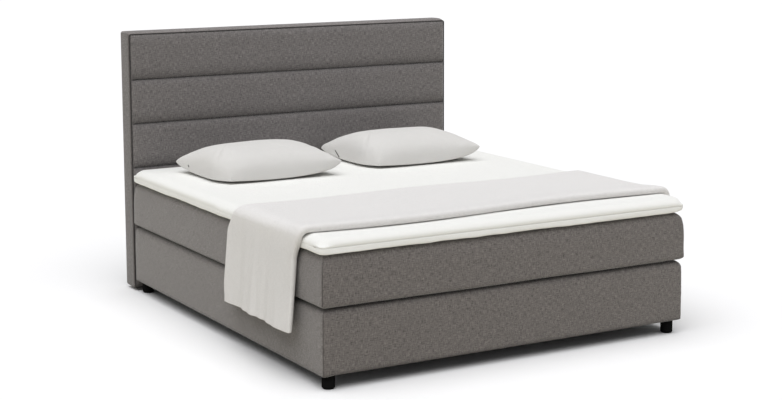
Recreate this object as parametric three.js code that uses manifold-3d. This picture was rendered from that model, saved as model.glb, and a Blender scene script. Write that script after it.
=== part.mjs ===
// A box spring bed for a 180 x 200 cm sleeping surface: an upholstered base with a timber frame and wire
// springs on five short legs, a pocket spring mattress, a topper, a headboard with sewn channels, a folded
// throw and two pillows.
// Millimetres. The origin is on the floor under the middle of the base. X runs across the bed, +Y points
// to the headboard and +Z is up.
import * as THREE from "three";
import { mergeVertices } from "three/addons/utils/BufferGeometryUtils.js";
import Module from "manifold-3d";

const wasm = await Module();
wasm.setup();

// Overall sizes
const bedWidth = 1800;
const bedLength = 2000;
const legHeight = 60;
const baseHeight = 270;
const mattressHeight = 216;
const topperHeight = 66;
const headboardTop = 1285;
const headboardBottom = 12;
const headboardDepth = 118;
const headboardSideMargin = 2;

// Fits
const seatGap = 0.3;
const cutOverrun = 5;

// Upholstery cloth and the edges of the upholstered blocks
const clothThickness = 2;
const blockCornerRadius = 8;
const leastRadius = 0.5;
const cornerSteps = 4;
const edgeSteps = 4;
const bowSteps = 4;
const quarterTurn = Math.PI / 2;

// Legs
const legRadius = 27;
const legInset = 45;
const legEdge = 2;
const studRadius = 4;
const studLength = 40;
const studClearance = 0.4;
const glideHeight = 4;
const glideRadius = 23;
const roundSides = 16;

// Base
const dustClothThickness = 1;
const baseTopEdge = 28;
const baseBottomEdge = 5;
const baseBow = 2;
const baseTurnIn = 40;
const railThickness = 22;
const railHeight = 100;
const centreRailWidth = 44;
const slatWidth = 90;
const slatThickness = 18;
const slatCount = 5;
const cornerBlockSize = 80;
const cornerBlockHeight = 60;
const feltThickness = 4;
const baseFoamThickness = 32;
const springMargin = 25;
const springWire = 5;
const springBarWidth = 14;
const springColumns = 4;
const springRows = 5;
const springSides = 6;
const springEndRadius = 62;
const springWaistRadius = 36;

// Mattress
const mattressTopEdge = 28;
const mattressBottomEdge = 5;
const mattressBow = 4;
const mattressTurnIn = 48;
const edgeFoamWidth = 60;
const lowerFoamThickness = 20;
const upperFoamThickness = 30;
const pocketDiameter = 112;
const pocketSteps = 3;

// Topper
const topperOverhang = 4;
const topperCornerRadius = 20;
const topperTopEdge = 30;
const topperBottomEdge = 8;
const topperTurnIn = 70;
const zipHeight = 4;
const zipAboveBottom = 29;

// Headboard
const headboardCornerRadius = 12;
const borderBackEdge = 7;
const borderBow = 1;
const borderTurnIn = 30;
const backClothInset = 8;
const postWidth = 60;
const topRailHeight = 60;
const bottomRailHeight = 150;
const frontBoardThickness = 12;
const headboardFoamThickness = 20;
const weltDiameter = 5;
const weltSides = 6;
const topChannelHeight = 234;
const channelPitch = 217;
const channelCount = 4;
const seamDepth = 5;
const crestAhead = 9;
const padAtSeam = 12;
const padEndRound = 30;
const channelPower = 2.4;
const channelHeightShares = [0, 0.05, 0.2, 0.5, 0.8, 0.95];
const padEndShares = [0, 0.1, 0.4, 1];

// Headboard bolts
const boltRadius = 4;
const boltHeadRadius = 7;
const boltHeadHeight = 5;
const boltGrip = 36;
const boltClearance = 0.5;
const boltInset = 300;
const boltHeightShares = [0.25, 0.7];

// Pillows
const pillowWidth = 646;
const pillowLength = 495;
const pillowHeight = 160;
const pillowSeamHeight = 34;
const pillowTipHeight = 64;
const pillowLowTipHeight = 18;
const pillowSideDraw = 20;
const pillowCrownShare = 0.36;
const pillowBellyShare = 0.3;
const pillowColumns = 16;
const pillowRows = 10;
const leftPillowFromMiddle = 103;
const leftPillowFromHead = 430;
const rightPillowFromMiddle = 70;
const rightPillowFromHead = 383;

// Throw, folded in two along its length with the fold towards the foot end
const throwThickness = 26;
const throwHemThickness = 18;
const throwFrontFromFoot = 132;
const throwBackFromFoot = 760;
const throwDrop = 406;
const throwRightDrop = 72;
const throwFlare = 46;
const throwFlarePower = 1.4;
const throwFrontShoulder = 46;
const throwBackShoulder = 68;
const throwShoulderShare = 0.3;
const throwFoldDepth = 9;
const throwFoldCount = 2.5;
const throwTopSteps = 6;
const throwHangSteps = 8;
const throwAcrossSteps = 9;
const throwFoldShares = [0.5, 0.15];

// Heights of the layers, from the floor up
const baseBottom = legHeight;
const baseTop = baseBottom + baseHeight;
const baseCoverBottom = baseBottom + dustClothThickness + seatGap;
const frameBottom = baseCoverBottom + clothThickness + seatGap;
const frameTop = frameBottom + railHeight;
const lowerFeltBottom = frameTop + seatGap;
const springBottom = lowerFeltBottom + feltThickness + seatGap;
const baseFoamTop = baseTop - clothThickness - seatGap;
const baseFoamBottom = baseFoamTop - baseFoamThickness;
const upperFeltBottom = baseFoamBottom - seatGap - feltThickness;
const springTop = upperFeltBottom - seatGap;
const mattressBottom = baseTop + seatGap;
const mattressTop = mattressBottom + mattressHeight;
const topperBottom = mattressTop + seatGap;
const topperTop = topperBottom + topperHeight;

// Plan sizes
const blockSize = { width: bedWidth, length: bedLength, radius: blockCornerRadius };
const topperWidth = bedWidth + 2 * topperOverhang;
const topperSize = { width: topperWidth, length: bedLength, radius: topperCornerRadius };
const baseInside = baseBow + baseBottomEdge + seatGap;
const frameWidth = bedWidth - 2 * baseInside;
const frameLength = bedLength - 2 * baseInside;
const frameInnerWidth = frameWidth - 2 * railThickness;
const frameInnerLength = frameLength - 2 * railThickness;

// Headboard depths, counted forwards from its back
const headboardWidth = bedWidth + 2 * headboardSideMargin;
const headboardHeight = headboardTop - headboardBottom;
const headboardMiddle = (headboardTop + headboardBottom) / 2;
const headboardBack = bedLength / 2 + seatGap + crestAhead + headboardDepth;
const borderBottom = dustClothThickness + seatGap;
const borderFront = headboardDepth - weltDiameter - seatGap;
const headFrameBack = borderBottom + clothThickness + seatGap;
const seamLevel = headboardDepth - seamDepth;
const padBack = seamLevel - padAtSeam;
const headFoamBack = padBack - seatGap - headboardFoamThickness;
const frontBoardBack = headFoamBack - seatGap - frontBoardThickness;
const headFrameDepth = frontBoardBack - seatGap - headFrameBack;
const crownHeight = seamDepth + crestAhead;
const padInset = borderBow + weltDiameter + seatGap;
const headInside = borderBow + borderBackEdge + seatGap;
const headFrameWidth = headboardWidth - 2 * headInside;
const headFrameHeight = headboardHeight - 2 * headInside;

// Finishes
const finishes = {
  upholstery: { color: 0x77716d, roughness: 0.95, metalness: 0 },
  welt: { color: 0x5c5754, roughness: 0.95, metalness: 0 },
  topperCloth: { color: 0xf3f3ee, roughness: 0.9, metalness: 0 },
  pillowCloth: { color: 0xd6d2cc, roughness: 0.9, metalness: 0 },
  throwCloth: { color: 0xd5d2cf, roughness: 0.95, metalness: 0 },
  ticking: { color: 0xcfcdc8, roughness: 0.9, metalness: 0 },
  darkCloth: { color: 0x1d1d1e, roughness: 0.95, metalness: 0 },
  felt: { color: 0x8c8a84, roughness: 1, metalness: 0 },
  foam: { color: 0xe8e0c8, roughness: 0.95, metalness: 0 },
  timber: { color: 0xc8a878, roughness: 0.7, metalness: 0 },
  board: { color: 0xa98c64, roughness: 0.75, metalness: 0 },
  legPlastic: { color: 0x141414, roughness: 0.55, metalness: 0 },
  steel: { color: 0x9a9c9e, roughness: 0.4, metalness: 1 },
};

// One named piece of the bed.
function piece(group, name, geometry, finish) {
  const mesh = new THREE.Mesh(geometry, new THREE.MeshStandardMaterial(finishes[finish]));
  mesh.name = name;
  group.add(mesh);
  return mesh;
}

// A closed triangle mesh as a solid that can be joined and cut.
function solidOf(geometry) {
  const bare = geometry.clone();
  bare.deleteAttribute("normal");
  bare.deleteAttribute("uv");
  const merged = mergeVertices(bare);
  return new wasm.Manifold(
    new wasm.Mesh({
      numProp: 3,
      vertProperties: new Float32Array(merged.attributes.position.array),
      triVerts: new Uint32Array(merged.index.array),
    }),
  );
}

function geometryOf(solid) {
  const mesh = solid.getMesh();
  const geometry = new THREE.BufferGeometry();
  geometry.setAttribute("position", new THREE.BufferAttribute(mesh.vertProperties, 3));
  geometry.setIndex(new THREE.BufferAttribute(mesh.triVerts, 1));
  geometry.computeVertexNormals();
  return geometry;
}

// A piece with holes, from its geometry and the cutters' geometries.
function cutBy(geometry, cutters) {
  const left = cutters.reduce((solid, cutter) => solid.subtract(solidOf(cutter)), solidOf(geometry));
  return geometryOf(left);
}

// The two ends of a skin, each filled by a strip of triangles across its ring.
function capRing(index, start, count, facesBack) {
  const turn = (a, b, c) => (facesBack ? index.push(a, c, b) : index.push(a, b, c));
  turn(start, start + 1, start + count - 1);
  for (let i = 1; i + 1 <= count - 1 - i; i += 1) {
    const far = start + count - i;
    if (i + 1 < count - 1 - i) turn(start + i, start + i + 1, far - 1);
    turn(start + i, far - 1, far);
  }
}

// A closed skin through rings with the same number of points. A loop joins its last ring to its first,
// and any other skin has its two end rings capped.
function skin(rings, loop) {
  const count = rings[0].length;
  const bands = loop ? rings.length : rings.length - 1;
  const index = [];
  for (let band = 0; band < bands; band += 1) {
    const low = band * count;
    const high = ((band + 1) % rings.length) * count;
    for (let i = 0; i < count; i += 1) {
      const next = (i + 1) % count;
      index.push(low + i, low + next, high + next);
      index.push(low + i, high + next, high + i);
    }
  }
  if (!loop) {
    capRing(index, 0, count, true);
    capRing(index, (rings.length - 1) * count, count, false);
  }
  const places = rings.flat().flatMap((point) => point.toArray());
  const geometry = new THREE.BufferGeometry();
  geometry.setAttribute("position", new THREE.Float32BufferAttribute(places, 3));
  geometry.setIndex(index);
  geometry.computeVertexNormals();
  return geometry;
}

// A rounded rectangle's outline at one height, drawn in by inset, anticlockwise from above.
function ring(size, inset, z) {
  const cornerSigns = [[1, -1], [1, 1], [-1, 1], [-1, -1]];
  const radius = Math.max(size.radius - inset, leastRadius);
  const points = [];
  cornerSigns.forEach(([signX, signY], corner) => {
    const centreX = signX * (size.width / 2 - inset - radius);
    const centreY = signY * (size.length / 2 - inset - radius);
    for (let step = 0; step <= cornerSteps; step += 1) {
      const angle = (corner - 1 + step / cornerSteps) * quarterTurn;
      const x = centreX + radius * Math.cos(angle);
      const y = centreY + radius * Math.sin(angle);
      points.push(new THREE.Vector3(x, y, z));
    }
  });
  return points;
}

function rings(size, line) {
  return line.map((point) => ring(size, point.inset, point.z));
}

// The side of an upholstered block in section, from its underside round to its top, as distances in from
// the block's outline. The offset draws it in by a cloth's thickness or more.
function sideLine(edge, offset) {
  const wallBottom = edge.bottom + edge.lowRadius;
  const wallTop = edge.top - edge.highRadius;
  const line = [{ inset: edge.turnIn, z: edge.bottom + offset }];
  for (let step = 0; step <= edgeSteps; step += 1) {
    const angle = (step / edgeSteps) * quarterTurn;
    const radius = edge.lowRadius - offset;
    const inset = edge.bow + edge.lowRadius - radius * Math.sin(angle);
    line.push({ inset, z: wallBottom - radius * Math.cos(angle) });
  }
  for (let step = 1; step < bowSteps; step += 1) {
    const share = step / bowSteps;
    const inset = edge.bow * (1 - Math.sin(share * Math.PI)) + offset;
    line.push({ inset, z: THREE.MathUtils.lerp(wallBottom, wallTop, share) });
  }
  for (let step = 0; step <= edgeSteps; step += 1) {
    const angle = (step / edgeSteps) * quarterTurn;
    const radius = edge.highRadius - offset;
    const inset = edge.bow + edge.highRadius - radius * Math.cos(angle);
    line.push({ inset, z: wallTop + radius * Math.sin(angle) });
  }
  line.push({ inset: edge.turnIn, z: edge.top - offset });
  return line;
}

// The part of a section line above or below a level.
function lineAbove(line, level) {
  const kept = line.filter((point) => point.z > level);
  return [{ inset: kept[0].inset, z: level }, ...kept];
}

function lineBelow(line, level) {
  const kept = line.filter((point) => point.z < level);
  return [...kept, { inset: kept[kept.length - 1].inset, z: level }];
}

// The cloth round a block's sides, turned in over its top and bottom edges.
function sideCover(size, edge) {
  const outer = sideLine(edge, 0);
  const inner = sideLine(edge, clothThickness).reverse();
  return skin(rings(size, [...outer, ...inner]), true);
}

// A flat sheet, board or foam layer with rounded corners, drawn in from a size, with round holes.
function sheet(size, inset, bottom, thickness, holes = []) {
  const outline = ring(size, inset, 0).map((point) => new THREE.Vector2(point.x, point.y));
  const shape = new THREE.Shape(outline);
  holes.forEach(({ x, y, radius }) => {
    shape.holes.push(new THREE.Path().absarc(x, y, radius, 0, 2 * Math.PI, true));
  });
  const options = { depth: thickness, bevelEnabled: false, curveSegments: roundSides / 2 };
  return new THREE.ExtrudeGeometry(shape, options).translate(0, 0, bottom);
}

// A board given by its lowest corner and its size.
function board(x, y, z, width, length, height) {
  const shape = new THREE.BoxGeometry(width, length, height);
  return shape.translate(x + width / 2, y + length / 2, z + height / 2);
}

// An upright cylinder from one height to another.
function upright(x, y, bottom, top, radius) {
  const shape = new THREE.CylinderGeometry(radius, radius, top - bottom, roundSides);
  return shape.rotateX(quarterTurn).translate(x, y, (bottom + top) / 2);
}

const legPlaces = [
  { name: "foot_left", x: -bedWidth / 2 + legInset, y: -bedLength / 2 + legInset },
  { name: "foot_right", x: bedWidth / 2 - legInset, y: -bedLength / 2 + legInset },
  { name: "head_left", x: -bedWidth / 2 + legInset, y: bedLength / 2 - legInset },
  { name: "head_right", x: bedWidth / 2 - legInset, y: bedLength / 2 - legInset },
  { name: "centre", x: 0, y: 0 },
];

// The hole that a leg's stud goes up through.
function studHole(place) {
  const top = baseBottom + studLength + cutOverrun;
  return upright(place.x, place.y, 0, top, studRadius + studClearance);
}

// A turned leg with its threaded stud, and the felt glide under it.
function makeLegs(group) {
  legPlaces.forEach((place) => {
    const legTop = baseBottom - seatGap;
    const profile = [
      [0, glideHeight],
      [legRadius - legEdge, glideHeight],
      [legRadius, glideHeight + legEdge],
      [legRadius, legTop - legEdge],
      [legRadius - legEdge, legTop],
      [studRadius, legTop],
      [studRadius, legTop + studLength],
      [0, legTop + studLength],
    ];
    const points = profile.map(([radius, height]) => new THREE.Vector2(radius, height));
    const legShape = new THREE.LatheGeometry(points, roundSides).rotateX(quarterTurn);
    const leg = piece(group, "leg_" + place.name, legShape, "legPlastic");
    leg.position.set(place.x, place.y, 0);
    const glideTop = glideHeight - seatGap;
    const glide = piece(group, "glide_" + place.name, upright(0, 0, 0, glideTop, glideRadius), "felt");
    glide.position.set(place.x, place.y, 0);
  });
}

const boltPlaces = [-1, 1].flatMap((side) =>
  boltHeightShares.map((share, level) => ({
    name: (side < 0 ? "left_" : "right_") + (level ? "upper" : "lower"),
    x: side * (bedWidth / 2 - boltInset),
    z: frameBottom + share * railHeight,
  })),
);
const boltHeadFace = frameLength / 2 - railThickness - seatGap;
const boltTip = headboardBack - headFrameBack - headFrameDepth + boltGrip;

// The holes for the bolts, from inside the base to a little past their tips.
function boltHoles() {
  return boltPlaces.map((place) => {
    const from = boltHeadFace - cutOverrun;
    const to = boltTip + cutOverrun;
    const radius = boltRadius + boltClearance;
    const hole = new THREE.CylinderGeometry(radius, radius, to - from, roundSides / 2);
    return hole.translate(place.x, (from + to) / 2, place.z);
  });
}

// The bolts that hold the headboard's bottom rail to the base's head rail.
function makeBolts(group) {
  const profile = [
    [0, boltHeadFace - boltHeadHeight],
    [boltHeadRadius, boltHeadFace - boltHeadHeight],
    [boltHeadRadius, boltHeadFace],
    [boltRadius, boltHeadFace],
    [boltRadius, boltTip],
    [0, boltTip],
  ];
  const points = profile.map(([radius, along]) => new THREE.Vector2(radius, along));
  boltPlaces.forEach((place) => {
    const shape = new THREE.LatheGeometry(points, roundSides / 2);
    const bolt = piece(group, "headboard_bolt_" + place.name, shape, "steel");
    bolt.position.set(place.x, 0, place.z);
  });
}

// The timber frame: two end rails across the bed, two side rails between them, a centre rail and slats.
function makeBaseFrame(group) {
  const outerSize = { width: frameWidth, length: frameLength, radius: blockCornerRadius - baseInside };
  const rounded = solidOf(sheet(outerSize, 0, frameBottom, railHeight));
  const endRail = (y) => board(-frameWidth / 2, y, frameBottom, frameWidth, railThickness, railHeight);
  const headRail = geometryOf(solidOf(endRail(frameLength / 2 - railThickness)).intersect(rounded));
  const footRail = geometryOf(solidOf(endRail(-frameLength / 2)).intersect(rounded));
  piece(group, "base_head_rail", cutBy(headRail, boltHoles()), "timber");
  piece(group, "base_foot_rail", footRail, "timber");
  const sideLength = frameInnerLength - 2 * seatGap;
  const sideRail = (x) => board(x, -sideLength / 2, frameBottom, railThickness, sideLength, railHeight);
  piece(group, "base_left_rail", sideRail(-frameWidth / 2), "timber");
  piece(group, "base_right_rail", sideRail(frameWidth / 2 - railThickness), "timber");
  const centreRailHeight = railHeight - slatThickness - seatGap;
  const centreX = -centreRailWidth / 2;
  const centre = board(centreX, -sideLength / 2, frameBottom, centreRailWidth, sideLength, centreRailHeight);
  piece(group, "base_centre_rail", cutBy(centre, [studHole(legPlaces[4])]), "timber");
  const slatLength = frameInnerWidth - 2 * seatGap;
  for (let slat = 0; slat < slatCount; slat += 1) {
    const y = ((slat + 0.5) / slatCount - 0.5) * frameInnerLength - slatWidth / 2;
    const shape = board(-slatLength / 2, y, frameTop - slatThickness, slatLength, slatWidth, slatThickness);
    piece(group, "base_slat_" + (slat + 1), shape, "timber");
  }
}

// The blocks in the frame's corners, which the corner legs screw into.
function makeCornerBlocks(group) {
  const reachX = frameInnerWidth / 2 - seatGap;
  const reachY = frameInnerLength / 2 - seatGap;
  legPlaces.slice(0, 4).forEach((place) => {
    const x = place.x < 0 ? -reachX : reachX - cornerBlockSize;
    const y = place.y < 0 ? -reachY : reachY - cornerBlockSize;
    const block = board(x, y, frameBottom, cornerBlockSize, cornerBlockSize, cornerBlockHeight);
    piece(group, "corner_block_" + place.name, cutBy(block, [studHole(place)]), "timber");
  });
}

// One waisted coil of the wire spring unit, drawn as its envelope.
function springCoil(x, y) {
  const middle = (springBottom + springTop) / 2;
  const levels = [
    { radius: springEndRadius, z: springBottom },
    { radius: springWaistRadius, z: middle },
    { radius: springEndRadius, z: springTop },
  ];
  const coil = levels.map((level) =>
    Array.from({ length: springSides }, (_, side) => {
      const angle = (side / springSides) * 2 * Math.PI;
      const across = level.radius * Math.cos(angle);
      const along = level.radius * Math.sin(angle);
      return new THREE.Vector3(x + across, y + along, level.z);
    }),
  );
  return skin(coil, false);
}

// The wire spring unit of the base: rows of waisted coils between two grids of bars.
function makeBaseSprings(group) {
  const width = bedWidth - 2 * (baseInside + springMargin);
  const length = bedLength - 2 * (baseInside + springMargin);
  const firstX = -width / 2 + springEndRadius;
  const firstY = -length / 2 + springEndRadius;
  const pitchX = (width - 2 * springEndRadius) / (springColumns - 1);
  const pitchY = (length - 2 * springEndRadius) / (springRows - 1);
  const parts = [];
  for (let column = 0; column < springColumns; column += 1) {
    for (let row = 0; row < springRows; row += 1) {
      parts.push(springCoil(firstX + column * pitchX, firstY + row * pitchY));
    }
  }
  [springBottom, springTop - springWire].forEach((z) => {
    for (let column = 0; column < springColumns; column += 1) {
      const x = firstX + column * pitchX - springBarWidth / 2;
      parts.push(board(x, -length / 2, z, springBarWidth, length, springWire));
    }
    for (let row = 0; row < springRows; row += 1) {
      const y = firstY + row * pitchY - springBarWidth / 2;
      parts.push(board(-width / 2, y, z, width, springBarWidth, springWire));
    }
  });
  const unit = parts.map(solidOf).reduce((whole, part) => whole.add(part));
  piece(group, "base_spring_unit", geometryOf(unit), "steel");
}

// The base's cloth and padding.
function makeBaseUpholstery(group) {
  const edge = {
    bottom: baseCoverBottom,
    top: baseTop,
    lowRadius: baseBottomEdge,
    highRadius: baseTopEdge,
    bow: baseBow,
    turnIn: baseTurnIn,
  };
  piece(group, "base_side_cover", cutBy(sideCover(blockSize, edge), boltHoles()), "upholstery");
  const topInset = baseTurnIn + seatGap;
  const topCloth = sheet(blockSize, topInset, baseTop - clothThickness, clothThickness);
  piece(group, "base_top_cloth", topCloth, "darkCloth");
  const foamLine = lineAbove(sideLine(edge, clothThickness + seatGap), baseFoamBottom);
  piece(group, "base_top_foam", skin(rings(blockSize, foamLine), false), "foam");
  piece(group, "base_upper_felt", sheet(blockSize, baseInside, upperFeltBottom, feltThickness), "felt");
  piece(group, "base_lower_felt", sheet(blockSize, baseInside, lowerFeltBottom, feltThickness), "felt");
  const holes = legPlaces.map(({ x, y }) => ({ x, y, radius: studRadius + studClearance }));
  const dustCloth = sheet(blockSize, baseInside, baseBottom, dustClothThickness, holes);
  piece(group, "base_dust_cloth", dustCloth, "darkCloth");
}

// The pocket spring core: a block of springs sewn in cloth, with a scalloped outline of pockets.
function pocketCore(width, length, bottom, height) {
  const across = Math.round(width / pocketDiameter);
  const along = Math.round(length / pocketDiameter);
  const runs = [
    { count: across, from: [-width / 2, -length / 2], step: [width / across, 0] },
    { count: along, from: [width / 2, -length / 2], step: [0, length / along] },
    { count: across, from: [width / 2, length / 2], step: [-width / across, 0] },
    { count: along, from: [-width / 2, length / 2], step: [0, -length / along] },
  ];
  const outline = [];
  runs.forEach(({ count, from, step }) => {
    const pitch = Math.hypot(...step);
    const outX = step[1] / pitch;
    const outY = -step[0] / pitch;
    for (let pocket = 0; pocket < count; pocket += 1) {
      for (let part = 0; part < pocketSteps; part += 1) {
        const share = part / pocketSteps;
        const bulge = (Math.sin(share * Math.PI) * pitch) / 4 - pitch / 4;
        const x = from[0] + (pocket + share) * step[0] + bulge * outX;
        const y = from[1] + (pocket + share) * step[1] + bulge * outY;
        outline.push(new THREE.Vector2(x, y));
      }
    }
  });
  const shape = new THREE.Shape(outline);
  return new THREE.ExtrudeGeometry(shape, { depth: height, bevelEnabled: false }).translate(0, 0, bottom);
}

// The mattress: cover, edge foam, and the foam and spring layers between its panels.
function makeMattress(group) {
  const edge = {
    bottom: mattressBottom,
    top: mattressTop,
    lowRadius: mattressBottomEdge,
    highRadius: mattressTopEdge,
    bow: mattressBow,
    turnIn: mattressTurnIn,
  };
  piece(group, "mattress_side_cover", sideCover(blockSize, edge), "upholstery");
  const panelInset = mattressTurnIn + seatGap;
  const topPanel = sheet(blockSize, panelInset, mattressTop - clothThickness, clothThickness);
  piece(group, "mattress_top_panel", topPanel, "ticking");
  const bottomPanel = sheet(blockSize, panelInset, mattressBottom, clothThickness);
  piece(group, "mattress_bottom_panel", bottomPanel, "darkCloth");
  const foamEdge = { ...edge, turnIn: edgeFoamWidth };
  const edgeLine = sideLine(foamEdge, clothThickness + seatGap);
  piece(group, "mattress_edge_foam", skin(rings(blockSize, edgeLine), true), "foam");
  const inside = edgeFoamWidth + seatGap;
  const lowerFoamBottom = mattressBottom + clothThickness + seatGap;
  const upperFoamBottom = mattressTop - clothThickness - seatGap - upperFoamThickness;
  const coreBottom = lowerFoamBottom + lowerFoamThickness + seatGap;
  const coreHeight = upperFoamBottom - seatGap - coreBottom;
  piece(group, "mattress_lower_foam", sheet(blockSize, inside, lowerFoamBottom, lowerFoamThickness), "foam");
  piece(group, "mattress_upper_foam", sheet(blockSize, inside, upperFoamBottom, upperFoamThickness), "foam");
  const core = pocketCore(bedWidth - 2 * inside, bedLength - 2 * inside, coreBottom, coreHeight);
  piece(group, "mattress_pocket_springs", core, "ticking");
}

// The topper: an upper and a lower cover that a zip joins, round a foam core.
function makeTopper(group) {
  const edge = {
    bottom: topperBottom,
    top: topperTop,
    lowRadius: topperBottomEdge,
    highRadius: topperTopEdge,
    bow: 0,
    turnIn: topperTurnIn,
  };
  const seam = topperBottom + zipAboveBottom;
  const outer = sideLine(edge, 0);
  const inner = sideLine(edge, clothThickness);
  const upperFrom = seam + zipHeight / 2;
  const lowerTo = seam - zipHeight / 2;
  const upperLine = [...lineAbove(inner, upperFrom).reverse(), ...lineAbove(outer, upperFrom)];
  piece(group, "topper_upper_cover", skin(rings(topperSize, upperLine), false), "topperCloth");
  const lowerLine = [...lineBelow(outer, lowerTo), ...lineBelow(inner, lowerTo).reverse()];
  piece(group, "topper_lower_cover", skin(rings(topperSize, lowerLine), false), "topperCloth");
  const zipLine = [
    { inset: 0, z: lowerTo + seatGap },
    { inset: 0, z: upperFrom - seatGap },
    { inset: clothThickness, z: upperFrom - seatGap },
    { inset: clothThickness, z: lowerTo + seatGap },
  ];
  piece(group, "topper_zip", skin(rings(topperSize, zipLine), true), "topperCloth");
  const coreLine = sideLine(edge, clothThickness + seatGap);
  piece(group, "topper_core", skin(rings(topperSize, coreLine), false), "foam");
}

// Turns a headboard piece, made lying on its back, upright behind the bed.
function standUp(geometry) {
  return geometry.rotateX(quarterTurn).translate(0, headboardBack, headboardMiddle);
}

// How far a channel stands out at a share of its height, and near the pad's ends.
function channelCrown(share) {
  return Math.sqrt(1 - Math.abs(2 * share - 1) ** channelPower);
}

function endCrown(share) {
  return Math.sqrt(1 - (1 - share) ** 2);
}

// The channelled front pad: rows of padded rolls between sewn seams, with a taller plain one at the bottom.
function channelPad() {
  const top = headboardHeight / 2 - padInset;
  const bottom = -headboardHeight / 2 + padInset;
  const right = headboardWidth / 2 - padInset;
  const seams = [top];
  for (let channel = 0; channel < channelCount; channel += 1) {
    seams.push(headboardHeight / 2 - topChannelHeight - channel * channelPitch);
  }
  seams.push(bottom);
  const levels = [];
  for (let channel = 0; channel < seams.length - 1; channel += 1) {
    channelHeightShares.forEach((share) => {
      const y = THREE.MathUtils.lerp(seams[channel], seams[channel + 1], share);
      levels.push({ y, crown: channelCrown(share) });
    });
  }
  levels.push({ y: bottom, crown: 0 });
  const columns = padEndShares.map((share) => ({ x: right - share * padEndRound, crown: endCrown(share) }));
  const mirrored = columns.map(({ x, crown }) => ({ x: -x, crown })).reverse();
  const across = [...columns, ...mirrored];
  const sections = levels.map((level) => {
    const front = across.map((column) => {
      const z = seamLevel + crownHeight * level.crown * column.crown;
      return new THREE.Vector3(column.x, level.y, z);
    });
    const back = [...across].reverse().map((column) => new THREE.Vector3(column.x, level.y, padBack));
    return [...back, ...front];
  });
  const size = { width: headboardWidth, length: headboardHeight, radius: headboardCornerRadius };
  const rounded = sheet(size, padInset, padBack - cutOverrun, padAtSeam + crownHeight + 2 * cutOverrun);
  return geometryOf(solidOf(skin(sections, false)).intersect(solidOf(rounded)));
}

// The headboard's timber frame, made lying on its back: two posts and three rails between them.
function makeHeadboardFrame(group) {
  const radius = headboardCornerRadius - headInside;
  const size = { width: headFrameWidth, length: headFrameHeight, radius };
  const rounded = solidOf(sheet(size, 0, headFrameBack, headFrameDepth));
  const post = (x) => {
    const shape = board(x, -headFrameHeight / 2, headFrameBack, postWidth, headFrameHeight, headFrameDepth);
    return standUp(geometryOf(solidOf(shape).intersect(rounded)));
  };
  piece(group, "headboard_left_post", post(-headFrameWidth / 2), "timber");
  piece(group, "headboard_right_post", post(headFrameWidth / 2 - postWidth), "timber");
  const railLength = headFrameWidth - 2 * postWidth - 2 * seatGap;
  const rail = (y, height) => {
    return standUp(board(-railLength / 2, y, headFrameBack, railLength, height, headFrameDepth));
  };
  piece(group, "headboard_top_rail", rail(headFrameHeight / 2 - topRailHeight, topRailHeight), "timber");
  piece(group, "headboard_middle_rail", rail(-topRailHeight / 2, topRailHeight), "timber");
  const bottomRail = rail(-headFrameHeight / 2, bottomRailHeight);
  piece(group, "headboard_bottom_rail", cutBy(bottomRail, boltHoles()), "timber");
}

// The headboard's board, padding and cloth.
function makeHeadboardUpholstery(group) {
  const size = { width: headboardWidth, length: headboardHeight, radius: headboardCornerRadius };
  const backCloth = standUp(sheet(size, backClothInset, 0, dustClothThickness));
  piece(group, "headboard_back_cloth", backCloth, "darkCloth");
  const frontBoard = standUp(sheet(size, headInside, frontBoardBack, frontBoardThickness));
  piece(group, "headboard_front_board", cutBy(frontBoard, boltHoles()), "board");
  const foam = standUp(sheet(size, headInside, headFoamBack, headboardFoamThickness));
  piece(group, "headboard_foam", cutBy(foam, boltHoles()), "foam");
  piece(group, "headboard_front_pad", cutBy(standUp(channelPad()), boltHoles()), "upholstery");
  const edge = {
    bottom: borderBottom,
    top: headboardDepth,
    lowRadius: borderBackEdge,
    highRadius: weltDiameter,
    bow: borderBow,
    turnIn: borderTurnIn,
  };
  const outer = lineBelow(sideLine(edge, 0), borderFront);
  const inner = lineBelow(sideLine(edge, clothThickness), borderFront).reverse();
  piece(group, "headboard_border", standUp(skin(rings(size, [...outer, ...inner]), true)), "upholstery");
  const weltRadius = weltDiameter / 2;
  const weltLine = Array.from({ length: weltSides }, (_, side) => {
    const angle = (side / weltSides) * 2 * Math.PI;
    const inset = weltRadius + borderBow - weltRadius * Math.cos(angle);
    return { inset, z: headboardDepth - weltRadius + weltRadius * Math.sin(angle) };
  });
  piece(group, "headboard_welt", standUp(skin(rings(size, weltLine), true)), "welt");
}

// How high a pillow's seam runs: low along its sides and up at its tips, but for the near left one.
function pillowSeam(u, v) {
  const lowCorner = ((1 - u) * (1 - v)) / 4;
  const tip = THREE.MathUtils.lerp(pillowTipHeight, pillowLowTipHeight, lowCorner);
  return THREE.MathUtils.lerp(pillowSeamHeight, tip, u * u * v * v);
}

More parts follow.
